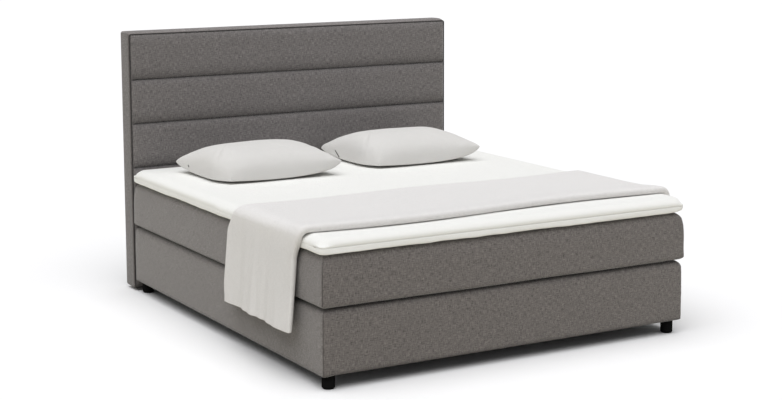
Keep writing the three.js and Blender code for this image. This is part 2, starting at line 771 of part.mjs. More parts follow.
// A stuffed pillow: crowned above a seam whose sides pull in between the corners, and flat where it rests.
function pillowShape() {
  const places = [];
  const index = [];
  const stride = pillowColumns + 1;
  const sideCount = stride * (pillowRows + 1);
  [1, -1].forEach((side, layer) => {
    for (let row = 0; row <= pillowRows; row += 1) {
      for (let column = 0; column <= pillowColumns; column += 1) {
        const u = Math.sin(((2 * column) / pillowColumns - 1) * quarterTurn);
        const v = Math.sin(((2 * row) / pillowRows - 1) * quarterTurn);
        const openU = Math.max(1 - u * u, 0);
        const openV = Math.max(1 - v * v, 0);
        const x = u * (pillowWidth / 2 - pillowSideDraw * openV);
        const y = v * (pillowLength / 2 - pillowSideDraw * openU);
        const seam = pillowSeam(u, v);
        const crown = seam + (pillowHeight - seam) * (openU * openV) ** pillowCrownShare;
        const belly = seam * (1 - (openU * openV) ** pillowBellyShare);
        places.push(x, y, side > 0 ? crown : belly);
      }
    }
    for (let row = 0; row < pillowRows; row += 1) {
      for (let column = 0; column < pillowColumns; column += 1) {
        const a = layer * sideCount + row * stride + column;
        const b = a + 1;
        const c = b + stride;
        const d = a + stride;
        if (side > 0) index.push(a, b, c, a, c, d);
        else index.push(a, c, b, a, d, c);
      }
    }
  });
  const geometry = new THREE.BufferGeometry();
  geometry.setAttribute("position", new THREE.Float32BufferAttribute(places, 3));
  geometry.setIndex(index);
  return geometryOf(solidOf(geometry));
}

function makePillows(group) {
  const left = piece(group, "pillow_left", pillowShape(), "pillowCloth");
  const height = topperTop + seatGap;
  const leftX = -leftPillowFromMiddle - pillowWidth / 2;
  left.position.set(leftX, bedLength / 2 - leftPillowFromHead, height);
  const right = piece(group, "pillow_right", pillowShape(), "pillowCloth");
  const rightX = rightPillowFromMiddle + pillowWidth / 2;
  right.position.set(rightX, bedLength / 2 - rightPillowFromHead, height);
}

// The stations of the throw's underside, from its hem at the right edge, over the topper, to its hem at the
// left side. Each has its place, the way out of the bed and its share of the left hang, bend included.
function throwStations() {
  const side = topperWidth / 2;
  const bend = topperTopEdge + seatGap;
  const bendX = side - topperTopEdge;
  const bendZ = topperTop - topperTopEdge;
  const drop = throwDrop - topperTopEdge;
  const bendShare = (bend * quarterTurn) / (bend * quarterTurn + drop);
  const stations = [];
  stations.push({ x: bendX + bend, z: topperTop - throwRightDrop, outX: 1, outZ: 0, hang: 0 });
  for (let step = 0; step <= edgeSteps; step += 1) {
    const angle = (step / edgeSteps) * quarterTurn;
    const outX = Math.cos(angle);
    const outZ = Math.sin(angle);
    stations.push({ x: bendX + bend * outX, z: bendZ + bend * outZ, outX, outZ, hang: 0 });
  }
  for (let step = 1; step < throwTopSteps; step += 1) {
    const x = THREE.MathUtils.lerp(bendX, -bendX, step / throwTopSteps);
    stations.push({ x, z: bendZ + bend, outX: 0, outZ: 1, hang: 0 });
  }
  for (let step = 0; step <= edgeSteps; step += 1) {
    const share = step / edgeSteps;
    const outX = -Math.sin(share * quarterTurn);
    const outZ = Math.cos(share * quarterTurn);
    const hang = share * bendShare;
    stations.push({ x: -bendX + bend * outX, z: bendZ + bend * outZ, outX, outZ, hang });
  }
  for (let step = 1; step <= throwHangSteps; step += 1) {
    const share = step / throwHangSteps;
    const x = -bendX - bend - throwFlare * share ** throwFlarePower;
    const hang = THREE.MathUtils.lerp(bendShare, 1, share);
    stations.push({ x, z: bendZ - share * drop, outX: -1, outZ: 0, hang });
  }
  return stations;
}

// The folded throw. Each section goes round the fold at the foot side, back over the top, and forwards
// below.
function throwShape() {
  const foot = -bedLength / 2;
  const sections = throwStations().map(({ x, z, outX, outZ, hang }) => {
    const shoulder = THREE.MathUtils.smoothstep(hang, 0, throwShoulderShare);
    const front = foot + throwFrontFromFoot + throwFrontShoulder * shoulder;
    const back = foot + throwBackFromFoot + throwBackShoulder * shoulder;
    const thickness = THREE.MathUtils.lerp(throwThickness, throwHemThickness, hang);
    const place = (y, level) => {
      const along = (y - front) / (back - front);
      const wave = (1 - Math.cos(2 * Math.PI * throwFoldCount * along)) / 2;
      const out = level * thickness + throwFoldDepth * hang * wave;
      return new THREE.Vector3(x + outX * out, y, z + outZ * out);
    };
    const upper = throwFoldShares.map((share) => place(front + share * thickness, 1 - share / 2));
    const lower = throwFoldShares.map((share) => place(front + share * thickness, share / 2));
    const nose = place(front, throwFoldShares[0]);
    const top = [];
    const under = [];
    for (let step = 1; step <= throwAcrossSteps; step += 1) {
      const y = THREE.MathUtils.lerp(front, back, step / throwAcrossSteps);
      top.push(place(y, 1));
      under.unshift(place(y, 0));
    }
    return [nose, ...upper.reverse(), ...top, ...under, ...lower];
  });
  return skin(sections, false);
}

function makeThrow(group) {
  piece(group, "throw", throwShape(), "throwCloth");
}

const group = new THREE.Group();
makeLegs(group);
makeBaseFrame(group);
makeCornerBlocks(group);
makeBaseSprings(group);
makeBaseUpholstery(group);
makeMattress(group);
makeTopper(group);
makeHeadboardFrame(group);
makeHeadboardUpholstery(group);
makeBolts(group);
makePillows(group);
makeThrow(group);

export default group;
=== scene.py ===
# A box spring bed for a 180 x 200 cm sleeping surface: base, mattress, topper, headboard with sewn
# channels, folded throw and two pillows. Metres, standing on the floor, with +Y towards the headboard.
import math

import bmesh
import bpy
from mathutils import Matrix, Vector, noise


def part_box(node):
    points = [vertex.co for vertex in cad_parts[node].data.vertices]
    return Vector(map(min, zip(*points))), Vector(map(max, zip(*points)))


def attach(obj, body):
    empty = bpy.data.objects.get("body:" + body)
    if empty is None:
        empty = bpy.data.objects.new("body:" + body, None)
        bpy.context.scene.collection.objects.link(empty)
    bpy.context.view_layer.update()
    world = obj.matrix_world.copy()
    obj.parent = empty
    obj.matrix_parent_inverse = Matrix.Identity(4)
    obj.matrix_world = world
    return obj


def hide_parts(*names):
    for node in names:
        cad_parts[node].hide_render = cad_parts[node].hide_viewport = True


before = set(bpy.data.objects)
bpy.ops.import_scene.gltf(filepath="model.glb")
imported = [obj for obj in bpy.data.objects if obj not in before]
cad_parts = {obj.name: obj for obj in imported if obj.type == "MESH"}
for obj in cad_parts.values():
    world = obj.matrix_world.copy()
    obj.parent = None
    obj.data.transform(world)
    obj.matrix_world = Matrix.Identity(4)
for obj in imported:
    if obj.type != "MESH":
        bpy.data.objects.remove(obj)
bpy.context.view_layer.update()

# Camera: stands off the bed's foot at the left, higher than the headboard, tipped down to the bed and with
# its lens shifted slightly, so that uprights stay nearly parallel as they are in the photograph.
scene = bpy.context.scene
scene.view_settings.view_transform = "Standard"
camera_data = bpy.data.cameras.new("camera")
camera_data.sensor_width = 36
camera_data.lens = 76.845
camera_data.shift_y = -0.08
camera_data.clip_end = 200
camera = bpy.data.objects.new("camera", camera_data)
tipped_down, turned_right, leaning = 0.14114, 0.52281, 0.00314
camera.location = (-3.8425, -6.6496, 1.9180)
camera.rotation_euler = (math.pi / 2 - tipped_down, leaning, -turned_right)
scene.collection.objects.link(camera)
scene.camera = camera


# Floor and light: a plain white studio floor that keeps the bed's shadow, an even sky, and one broad soft
# lamp high up on the bed's left.
def join(tree, node, joins):
    """Sets a shader node's inputs, or joins them to other nodes."""
    for key, value in joins.items():
        if isinstance(value, bpy.types.NodeSocket):
            tree.links.new(value, node.inputs[key])
        else:
            node.inputs[key].default_value = value


def put(tree, kind, joins=None, **settings):
    """A shader node with its settings, its values and what is joined to it."""
    node = tree.nodes.new("ShaderNode" + kind)
    for key, value in settings.items():
        setattr(node, key, value)
    join(tree, node, joins or {})
    return node


def reckoned(tree, operation, *values):
    """The result of one sum on values."""
    return put(tree, "Math", dict(enumerate(values)), operation=operation).outputs[0]


def mixed_value(tree, share, first, second):
    """A value between two others."""
    return put(tree, "Mix", {0: share, 2: first, 3: second}, data_type="FLOAT").outputs[0]


def mixed_colour(tree, share, *ends):
    """A colour between two ends, each a socket or plain red, green and blue."""
    first, second = [end if isinstance(end, bpy.types.NodeSocket) else (*end, 1) for end in ends]
    return put(tree, "Mix", {0: share, 6: first, 7: second}, data_type="RGBA").outputs[2]


def seen_or_mirrored(tree):
    """1 for what the camera sees, in a mirror or through glass too, and 0 for light on its way to the bed."""
    path = put(tree, "LightPath").outputs
    either = reckoned(tree, "MAXIMUM", path["Is Camera Ray"], path["Is Glossy Ray"])
    return reckoned(tree, "MAXIMUM", either, path["Is Transmission Ray"])


floor_finish = bpy.data.materials.new("studio floor")
floor_finish.use_nodes = True
tree = floor_finish.node_tree
tree.nodes.remove(tree.nodes["Principled BSDF"])
tone = mixed_colour(tree, seen_or_mirrored(tree), (0.82, 0.795, 0.705), (1.01, 1.01, 1.01))
paint = put(tree, "BsdfDiffuse", {"Color": tone})
tree.links.new(paint.outputs[0], tree.nodes["Material Output"].inputs["Surface"])
floor_half, floor_drop = 60, 0.0005
bm = bmesh.new()
bmesh.ops.create_grid(bm, x_segments=1, y_segments=1, size=floor_half)
bmesh.ops.translate(bm, verts=bm.verts, vec=(0, 0, -floor_drop))
floor_mesh = bpy.data.meshes.new("floor")
bm.to_mesh(floor_mesh)
bm.free()
floor_mesh.materials.append(floor_finish)
floor = bpy.data.objects.new("floor", floor_mesh)
scene.collection.objects.link(floor)

sky = bpy.data.worlds.new("studio sky")
sky.use_nodes = True
scene.world = sky
tree = sky.node_tree
light_on_bed, light_in_view = 0.25, 1.0
strength = mixed_value(tree, seen_or_mirrored(tree), light_on_bed, light_in_view)
join(tree, tree.nodes["Background"], {"Color": (1, 1, 1, 1), "Strength": strength})
lamp_data = bpy.data.lights.new("soft lamp", "SUN")
lamp_data.energy = 2.58
lamp_data.color = (0.985, 0.985, 1.0)
lamp_data.angle = math.radians(76)
lamp = bpy.data.objects.new("soft lamp", lamp_data)
lamp.rotation_euler = Vector((-0.22, -0.21, 0.95)).to_track_quat("Z", "Y").to_euler()
scene.collection.objects.link(lamp)


# Base frame: sawn softwood rails, a centre rail and cross slats, screwed and glued, with blocks in the
# corners for the legs. The grain runs along each board.
def finish(name, coordinates="Object"):
    """A new material, its node tree, its shader and its coordinates."""
    material = bpy.data.materials.new(name)
    material.use_nodes = True
    tree = material.node_tree
    return material, tree, tree.nodes["Principled BSDF"], put(tree, "TexCoord").outputs[coordinates]


def dress(tree, shader, colour, roughness, height=None, strength=1.0, depth=0.0):
    """Gives a shader its colour, its roughness and its relief of a depth in metres."""
    join(tree, shader, {"Base Color": colour, "Roughness": roughness})
    if height:
        relief = put(tree, "Bump", {"Height": height, "Strength": strength, "Distance": depth})
        tree.links.new(relief.outputs[0], shader.inputs["Normal"])


def mottled(tree, place, scale, detail, roughness=0.5, distortion=0.0):
    """Smooth noise about a place."""
    values = {"Vector": place, "Scale": scale, "Detail": detail, "Roughness": roughness,
              "Distortion": distortion}
    return put(tree, "TexNoise", values).outputs["Fac"]


def ranged(tree, value, to_low, to_high, low=0.0, high=1.0):
    """A value carried from one range into another, and held there."""
    values = {"Value": value, "From Min": low, "From Max": high, "To Min": to_low, "To Max": to_high}
    return put(tree, "MapRange", values).outputs[0]


def scaled(tree, colour, share):
    """A colour or place times a value."""
    return put(tree, "VectorMath", {0: colour, "Scale": share}, operation="SCALE").outputs[0]


def wear(material, *nodes):
    """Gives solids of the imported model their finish."""
    for node in nodes:
        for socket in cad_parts[node].material_slots:
            socket.material = material


def shader_group(name, inputs):
    """An effect that several materials share, from its named inputs to a colour, height and roughness."""
    group = bpy.data.node_groups.new(name, "ShaderNodeTree")
    for label, kind, value in inputs:
        socket = group.interface.new_socket(name=label, in_out="INPUT", socket_type="NodeSocket" + kind)
        if value is not None:
            socket.default_value = value
    for label, kind in (("Colour", "Color"), ("Height", "Float"), ("Roughness", "Float")):
        group.interface.new_socket(name=label, in_out="OUTPUT", socket_type="NodeSocket" + kind)
    return group, group.nodes.new("NodeGroupInput").outputs


def hand_out(group, *results):
    """Joins an effect's colour, height and roughness to its outputs."""
    gives = group.nodes.new("NodeGroupOutput").inputs
    for label, value in zip(("Colour", "Height", "Roughness"), results):
        group.links.new(value, gives[label])


early_wood, late_wood = (0.62, 0.43, 0.24, 1), (0.42, 0.25, 0.11, 1)
timber_grain, given = shader_group("timber grain", [
    ("Place", "Vector", None), ("Early Wood", "Color", early_wood), ("Late Wood", "Color", late_wood),
    ("Rings", "Float", 34.0)])
bend = put(timber_grain, "TexNoise", {"Vector": given["Place"], "Scale": 2.2, "Detail": 3.0}).outputs["Color"]
bent = put(timber_grain, "VectorMath", {0: bend, 1: (0.10, 0.10, 0.10), 2: given["Place"]},
           operation="MULTIPLY_ADD").outputs[0]
rings = put(timber_grain, "TexWave",
            {"Vector": bent, "Scale": given["Rings"], "Distortion": 2.4, "Detail": 2.0, "Detail Scale": 1.4},
            wave_type="BANDS", bands_direction="Y").outputs["Fac"]
pores = mottled(timber_grain, given["Place"], 420.0, 2.0)
dark = reckoned(timber_grain, "MULTIPLY_ADD", rings, 0.75, 0.05)
tint = mixed_colour(timber_grain, dark, given["Early Wood"], given["Late Wood"])
shade = scaled(timber_grain, tint, ranged(timber_grain, pores, 0.82, 1.0, low=0.3, high=0.62))
lift = reckoned(timber_grain, "MULTIPLY_ADD", pores, 0.6, rings)
hand_out(timber_grain, shade, lift, ranged(timber_grain, rings, 0.58, 0.76))


def sawn_timber(name, turn, early=early_wood, late=late_wood):
    """Softwood whose grain runs the way that turn points it."""
    material, tree, shader, place = finish(name)
    laid = put(tree, "Mapping", {"Vector": place, "Rotation": turn, "Scale": (0.12, 1, 1)}).outputs[0]
    grain = put(tree, "Group", node_tree=timber_grain)
    join(tree, grain, {"Place": laid, "Early Wood": early, "Late Wood": late})
    gives = grain.outputs
    dress(tree, shader, gives["Colour"], gives["Roughness"], gives["Height"], 0.6, 0.0005)
    return material


timber_across = sawn_timber("timber laid across", (0, 0, 0))
timber_along = sawn_timber("timber laid lengthwise", (0, 0, math.pi / 2))
timber_upright = sawn_timber("timber stood upright", (0, math.pi / 2, 0))
wear(timber_across, "base_head_rail", "base_foot_rail", *[f"base_slat_{n}" for n in range(1, 6)])
wear(timber_along, "base_left_rail", "base_right_rail", "base_centre_rail")
corners = ["foot_left", "foot_right", "head_left", "head_right"]
wear(timber_upright, *[f"corner_block_{corner}" for corner in corners])


# Base filling: a wire spring unit of hardened steel between two needled felts, with a sheet of polyether
# foam on top. All of it is stapled to the frame and hidden by the covers.
spring_steel, tree, shader, place = finish("drawn steel")
scale = mottled(tree, place, 60.0, 4.0)
tint = mixed_colour(tree, scale, (0.30, 0.30, 0.31), (0.52, 0.53, 0.54))
dress(tree, shader, tint, ranged(tree, scale, 0.28, 0.5))
shader.inputs["Metallic"].default_value = 1.0
bolts = [f"headboard_bolt_{side}_{level}" for side in ("left", "right") for level in ("lower", "upper")]
wear(spring_steel, "base_spring_unit", *bolts)

needled_felt, tree, shader, place = finish("needled felt")
fibres = mottled(tree, place, 240.0, 6.0, roughness=0.7, distortion=1.5)
tufts = reckoned(tree, "MULTIPLY", fibres, mottled(tree, place, 14.0, 3.0))
tone = ranged(tree, tufts, 0.0, 1.0, low=0.12, high=0.4)
tint = mixed_colour(tree, tone, (0.14, 0.13, 0.13), (0.36, 0.34, 0.32))
dress(tree, shader, tint, 1.0, fibres, 0.8, 0.0008)
wear(needled_felt, "base_upper_felt", "base_lower_felt")

cut_foam, tree, shader, place = finish("cut foam")
cells = put(tree, "TexVoronoi", {"Vector": place, "Scale": 700.0}).outputs["Distance"]
tint = scaled(tree, (0.80, 0.74, 0.55), ranged(tree, cells, 0.72, 1.0, high=0.7))
dress(tree, shader, tint, 0.95, cells, 0.7, 0.0006)
wear(cut_foam, "base_top_foam", "headboard_foam", "mattress_lower_foam", "mattress_upper_foam")


# Base upholstery: a grey melange furniture cloth round the four sides, sewn at the corners, drawn over the
# padded edge and stapled under the frame.
woven_cloth, given = shader_group("woven cloth", [
    ("Place", "Vector", None), ("Light Yarn", "Color", None), ("Dark Yarn", "Color", None),
    ("Threads", "Float", 500.0), ("Slubs", "Float", 0.5), ("Clouds", "Float", 0.1)])


def ridge(tree, along):
    """A row of rounded threads."""
    wave = reckoned(tree, "SINE", reckoned(tree, "MULTIPLY", along, math.pi))
    return reckoned(tree, "ABSOLUTE", wave)


counted = scaled(woven_cloth, given["Place"], given["Threads"])
apart = put(woven_cloth, "SeparateXYZ", {0: counted}).outputs
warp_on_top = put(woven_cloth, "TexChecker", {"Vector": counted, "Scale": 1.0}).outputs["Fac"]
thread = mixed_value(woven_cloth, warp_on_top, ridge(woven_cloth, apart[1]), ridge(woven_cloth, apart[0]))
slubs = []
for stretch in ((46, 330, 1), (330, 46, 1)):
    drawn = put(woven_cloth, "Mapping", {"Vector": given["Place"], "Scale": stretch}).outputs[0]
    slubs.append(mottled(woven_cloth, drawn, 1.0, 2.0))
even = reckoned(woven_cloth, "MULTIPLY", reckoned(woven_cloth, "ADD", *slubs), 0.5)
own = mixed_value(woven_cloth, warp_on_top, *slubs)
slub = ranged(woven_cloth, mixed_value(woven_cloth, 0.35, even, own), 0.0, 1.0, low=0.34, high=0.66)
fibre, cloud = [mottled(woven_cloth, given["Place"], *grain) for grain in ((1400.0, 1.0), (5.0, 3.0))]
mixed = mixed_value(woven_cloth, given["Slubs"], fibre, slub)
mixed = mixed_value(woven_cloth, given["Clouds"], mixed, cloud)
yarn = mixed_colour(woven_cloth, mixed, given["Dark Yarn"], given["Light Yarn"])
# Painted shade: the hollows between the threads are darker.
shade = scaled(woven_cloth, yarn, ranged(woven_cloth, thread, 0.74, 1.0, high=0.8))
lift = reckoned(woven_cloth, "MULTIPLY_ADD", slub, given["Slubs"], thread)
hand_out(woven_cloth, shade, lift, ranged(woven_cloth, slub, 0.98, 0.86))


def cloth_finish(name, light, dark, threads, slubs, clouds, relief, sheen, place="UV", seams=False):
    """A woven cloth with its yarns, thread count and nap, darker where the mesh carries painted shade."""
    material, tree, shader, laid = finish(name, place)
    weave = put(tree, "Group", node_tree=woven_cloth)
    join(tree, weave, {"Place": laid, "Light Yarn": (*light, 1), "Dark Yarn": (*dark, 1), "Threads": threads,
                       "Slubs": slubs, "Clouds": clouds})
    colour = weave.outputs["Colour"]
    # Painted shade: a vertex attribute darkens the cloth in seams and gaps and on shaded parts.
    if seams:
        painted_shade = put(tree, "Attribute", attribute_name="painted_shade").outputs["Fac"]
        colour = scaled(tree, colour, ranged(tree, painted_shade, 1.0, 0.12))
    dress(tree, shader, colour, weave.outputs["Roughness"], weave.outputs["Height"], 0.7, relief)
    join(tree, shader, {"Sheen Weight": sheen, "Sheen Roughness": 0.4, "Specular IOR Level": 0.2})
    return material


def melange(name, light, dark, sheen):
    """The grey melange cloth, in copies painted lighter for the headboard, darkened by the mesh's painted
    shade.
    """
    return cloth_finish(name, light, dark, 620, 0.86, 0.10, 0.0005, sheen, seams=True)


def held(value):
    """A value held between 0 and 1."""
    return min(1, max(0, value))


def uneven(x, y, z):
    """A smooth unevenness about 0, the same on every run."""
    return noise.noise(Vector((x, y, z)))


def space(node):
    """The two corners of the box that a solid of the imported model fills."""
    low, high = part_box(node)
    return Vector(low), Vector(high)


def lies_at(item, axis, place):
    """Whether all of an edge or face lies at one place on an axis."""
    return all(abs(vert.co[axis] - place) < 1e-6 for vert in item.verts)


def others(axis):
    """The two other axes."""
    return [other for other in range(3) if other != axis]


def lay_cloth(bm):
    """Cloth coordinates in metres, laid flat on the side of the bed that each face is on."""
    layer = bm.loops.layers.uv.verify()
    bm.normal_update()
    for face in bm.faces:
        across, up = others(max(range(3), key=lambda axis: abs(face.normal[axis])))
        for loop in face.loops:
            loop[layer].uv = (loop.vert.co[across], loop.vert.co[up])


def cut_rows(bm, axis, places):
    """Cuts the cloth into finer rows, square to an axis, for its folds and fullness."""
    normal = [int(axis == number) for number in range(3)]
    for place in places:
        point = [place * share for share in normal]
        bmesh.ops.bisect_plane(bm, geom=bm.verts[:] + bm.edges[:] + bm.faces[:], dist=1e-6, plane_co=point,
                               plane_no=normal)


def spaced(low, high, pitch):
    """Places about a pitch apart between two ends, without the ends."""
    count = max(2, round((high - low) / pitch))
    return [low + (high - low) * step / count for step in range(1, count)]


def hand_in(bm, name, material, body, slot, *nodes, crease=None):
    """Makes a finished mesh a piece of the bed, in place of the solids it stands for."""
    mesh = bpy.data.meshes.new(name)
    bm.to_mesh(mesh)
    bm.free()
    mesh.materials.append(material)
    mesh.shade_smooth()
    if crease:
        mesh.set_sharp_from_angle(angle=math.radians(crease))
    piece = bpy.data.objects.new(name, mesh)
    scene.collection.objects.link(piece)
    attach(piece, body)
    if nodes:
        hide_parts(*nodes)
    return piece


def thicken(piece, thickness, offset=-1):
    """Gives a piece of cloth its thickness, on the inside of what shows."""
    wall = piece.modifiers.new("cloth thickness", "SOLIDIFY")
    wall.thickness = thickness
    wall.offset = offset


def upholster(bm, name, material, body, slot, node):
    """Makes a shape a padded cover with the cloth's thickness."""
    cover = hand_in(bm, name, material, body, slot, node)
    thicken(cover, cloth_wall)


def soften(bm, edges, radius, segments, clamp=True):
    """Rounds edges off."""
    bmesh.ops.bevel(bm, geom=edges, offset=radius, offset_type="OFFSET", segments=segments, profile=0.5,
                    affect="EDGES", clamp_overlap=clamp, material=-1)


def block(low, high):
    """A plain block between two corners."""
    bm = bmesh.new()
    bmesh.ops.create_cube(bm, size=1)
    bmesh.ops.scale(bm, verts=bm.verts, vec=high - low)
    bmesh.ops.translate(bm, verts=bm.verts, vec=(high + low) / 2)
    return bm


def rounded_block(low, high, corner, top, bottom):
    """A block of upholstery with its top and bottom edges and its upright corners rounded."""
    bm = block(low, high)
    half, middle = (high - low) / 2, (high + low) / 2

    def on_mitre(vert):
        in_x, in_y = half.x - abs(vert.co.x - middle.x), half.y - abs(vert.co.y - middle.y)
        return abs(in_x - in_y) < 1e-5

    for z, radius, segments in ((high.z, top, 7), (low.z, bottom, 5)):
        soften(bm, [edge for edge in bm.edges if lies_at(edge, 2, z)], radius, segments, clamp=False)
    upright = [edge for edge in bm.edges if all(on_mitre(vert) for vert in edge.verts)
               and abs(edge.verts[0].co.z - edge.verts[1].co.z) > 1e-7]
    soften(bm, upright, corner, 6, clamp=False)
    return bm


def open_ends(bm, low, high, turned_in):
    """Opens the top and the underside inside the strip of cloth that is turned in over them."""
    for z, strip in zip((high.z, low.z), turned_in):
        flat = [face for face in bm.faces if lies_at(face, 2, z)]
        bmesh.ops.inset_region(bm, faces=flat, thickness=strip, use_even_offset=True)
        bmesh.ops.delete(bm, geom=[face for face in flat if face.is_valid], context="FACES")


def way_out(place, half, middle, reach):
    """How far in from the sides a place is, in X and in Y, and its way out from within reach of them."""
    from_x, from_y = place.x - middle.x, place.y - middle.y
    in_x, in_y = half.x - abs(from_x), half.y - abs(from_y)
    out_x = math.copysign(max(0, 1 - in_x / reach), from_x)
    out_y = math.copysign(max(0, 1 - in_y / reach), from_y)
    return in_x, in_y, Vector((out_x, out_y, 0))


def cover_shape(node, corner, top, bottom, turn_in, in_above, in_below, bow, lift, left_droop, right_swell,
                ripple):
    """A side cover: bowed by padding, rippled, puckered at corner seams, with painted shade at seams and
    edges.
    """
    row_pitch, level_pitch, side_reach = 0.03, 0.012, 0.05
    pucker_depth, pucker_reach, seam_depth = 0.0009, 0.035, 0.0004
    seam_shade, edge_shade, edge_shade_reach = 0.8, 0.97, 0.0055
    low, high = space(node)
    half, middle = (high - low) / 2, (high + low) / 2
    bm = rounded_block(low, high, corner, top, bottom)
    open_ends(bm, low, high, (turn_in - top - in_above, turn_in - bottom - in_below))
    cut_rows(bm, 0, spaced(low.x, high.x, row_pitch))
    cut_rows(bm, 1, spaced(low.y, high.y, row_pitch))
    cut_rows(bm, 2, spaced(low.z + bottom, high.z - top, level_pitch))
    lay_cloth(bm)
    painted_shade = bm.verts.layers.float.new("painted_shade")
    for vert in bm.verts:
        place = vert.co.copy()
        up = held((place.z - low.z - bottom) / (high.z - low.z - top - bottom))
        inset = in_below * max(0, 1 - 2 * up) ** 2 + in_above * max(0, 2 * up - 1) ** 4
        inset -= bow * math.sin(math.pi * up)
        in_x, in_y, outward = way_out(place, half, middle, corner)
        reach = outward.length
        edge = min(1, max(0, high.z - place.z) / top, max(0, place.z - low.z) / bottom)
        full = 0.5 + 0.5 * uneven(place.x * 2.1, place.y * 2.1, place.z * 7 + 3)
        small = 0.5 + 0.5 * uneven(place.x * 11, place.y * 11, place.z * 24)
        pucker = math.exp(-max(in_x, in_y) / pucker_reach)
        pucker *= uneven(place.x * 6, place.y * 6, place.z * 55 + 9)
        push = ripple * (0.65 * full + 0.35 * small) + pucker_depth * pucker
        push *= held((high.y - place.y) / side_reach)
        in_seam = abs(in_x - in_y) < 1e-4 and in_x < corner
        from_edge = max(0, min(high.z - place.z, place.z - low.z))
        # Painted shade: darker along the corner seams and towards the top and bottom edges, where the gaps
        # lie in shade.
        vert[painted_shade] = seam_shade if in_seam else edge_shade * math.exp(-from_edge / edge_shade_reach)
        if reach > 0:
            outward.normalize()
            place += outward * (push * edge * min(1, reach) - (seam_depth * edge if in_seam else 0))
        place.x += right_swell * edge * max(0, 1 - max(0, high.x - place.x) / side_reach)
        place.x -= (place.x - middle.x) / half.x * inset
        place.y -= (place.y - middle.y) / half.y * inset
        wavy = lift * (1 + 0.45 * uneven(place.x * 3.4, place.y * 3.4, 12))
        wavy -= left_droop * held(1 - (place.x - low.x) / side_reach)
        place.z += wavy * math.exp(-max(0, place.z - low.z) / 0.03)
        vert.co = place
    return bm


cloth_wall = 0.002
upholstery = melange("grey melange upholstery", (0.315, 0.287, 0.273), (0.062, 0.056, 0.054), 0.60)
base_shape = cover_shape("base_side_cover", corner=0.008, top=0.028, bottom=0.005, turn_in=0.040,
                         in_above=0.002, in_below=0, bow=0, lift=0, left_droop=0.004, right_swell=0.001,
                         ripple=0.0022)
upholster(base_shape, "base_upholstery", upholstery, "base", "upholstery", "base_side_cover")


# Cloth on top of the base: a dark non-slip fabric sewn to the side cover inside the padded edge, so that the
# mattress stays where it is laid.
def lay_flat(bm, cloth_place):
    """Cloth coordinates in metres, where cloth_place says that each vertex lies on the flat cloth."""
    layer = bm.loops.layers.uv.verify()
    for face in bm.faces:
        for loop in face.loops:
            loop[layer].uv = cloth_place(loop.vert)


def laid_cloth(name, node, material, body, slot, inset, thickness, drop, pitch=0.05, axis=2):
    """A thin cloth stretched flat, square to an axis, at the place that drop gives each part of it."""
    low, high = space(node)
    across, up = others(axis)
    size = [high[across] - low[across] - 2 * inset, high[up] - low[up] - 2 * inset]
    bm = bmesh.new()
    bmesh.ops.create_grid(bm, x_segments=round(size[0] / pitch), y_segments=round(size[1] / pitch), size=0.5)
    lay_flat(bm, lambda vert: (vert.co.x * size[0], vert.co.y * size[1]))
    for vert in bm.verts:
        a, b = vert.co.x * size[0], vert.co.y * size[1]
        place = [0, 0, 0]
        place[across] = (low[across] + high[across]) / 2 + a
        place[up] = (low[up] + high[up]) / 2 + b
        place[axis] = drop(a, b, size[0] / 2 - abs(a), size[1] / 2 - abs(b))
        vert.co = place
    sheet = hand_in(bm, name, material, body, slot, node)
    thicken(sheet, thickness, offset=0)
    return sheet


platform_finish, tree, shader, place = finish("non-slip base cloth", "UV")
dots = put(tree, "TexVoronoi", {"Vector": place, "Scale": 160.0, "Randomness": 0.0}).outputs["Distance"]
dot = ranged(tree, dots, 1.0, 0.0, low=0.22, high=0.30)
weave = put(tree, "Group", node_tree=woven_cloth)
join(tree, weave, {"Place": place, "Threads": 900, "Light Yarn": (0.075, 0.075, 0.08, 1),
                   "Dark Yarn": (0.025, 0.025, 0.028, 1)})
lift = reckoned(tree, "MULTIPLY_ADD", dot, 2.0, weave.outputs["Height"])
dress(tree, shader, mixed_colour(tree, dot, weave.outputs["Colour"], (0.02, 0.02, 0.022)),
      ranged(tree, dot, 0.95, 0.5), lift, 0.7, 0.0004)

sheet_gap, slack_depth = 0.0006, 0.0005
base_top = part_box("base_top_cloth")[1][2]


def on_base(a, b, side, end):
    """The cloth lies on the foam and dips a little between its seams."""
    return base_top - sheet_gap - slack_depth * (0.5 + 0.5 * uneven(a * 3, b * 3, 1))


platform = laid_cloth("base_platform_cloth", "base_top_cloth", platform_finish, "base", "dark_cloth", 0.0,
                      0.001, on_base)


# Cloth under the base: a black spun dust cover, folded in at its edge and stapled to the frame every few
# centimetres. It sags slightly between the frame and the middle leg.
lining_finish, tree, shader, place = finish("black spun lining", "UV")
fibres = mottled(tree, place, 900.0, 5.0, roughness=0.7, distortion=2.0)
bonds = put(tree, "TexVoronoi", {"Vector": place, "Scale": 420.0, "Randomness": 0.15}).outputs["Distance"]
dress(tree, shader, mixed_colour(tree, fibres, (0.006, 0.006, 0.007), (0.030, 0.030, 0.032)), 0.9,
      reckoned(tree, "MULTIPLY_ADD", bonds, 0.8, fibres), 0.8, 0.0004)
base_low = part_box("base_dust_cloth")[0][2]
staple_pitch, sag, ruck_depth = 0.08, 0.0035, 0.0003


def sagging(a, b, side, end):
    """The lining hangs a few millimetres below the frame, and is drawn up where it is stapled."""
    open_span = min(1, side / 0.25) * min(1, end / 0.25) * min(1, math.hypot(a, b) / 0.3)
    along = a if end < side else b
    ruck = math.exp(-min(side, end) / 0.03) * (1 - math.cos(2 * math.pi * along / staple_pitch))
    return base_low + sheet_gap - sag * open_span * open_span - ruck_depth * ruck


underside = laid_cloth("base_underside_cloth", "base_dust_cloth", lining_finish, "base", "dark_cloth", 0.006,
                       0.0008, sagging, pitch=0.02)


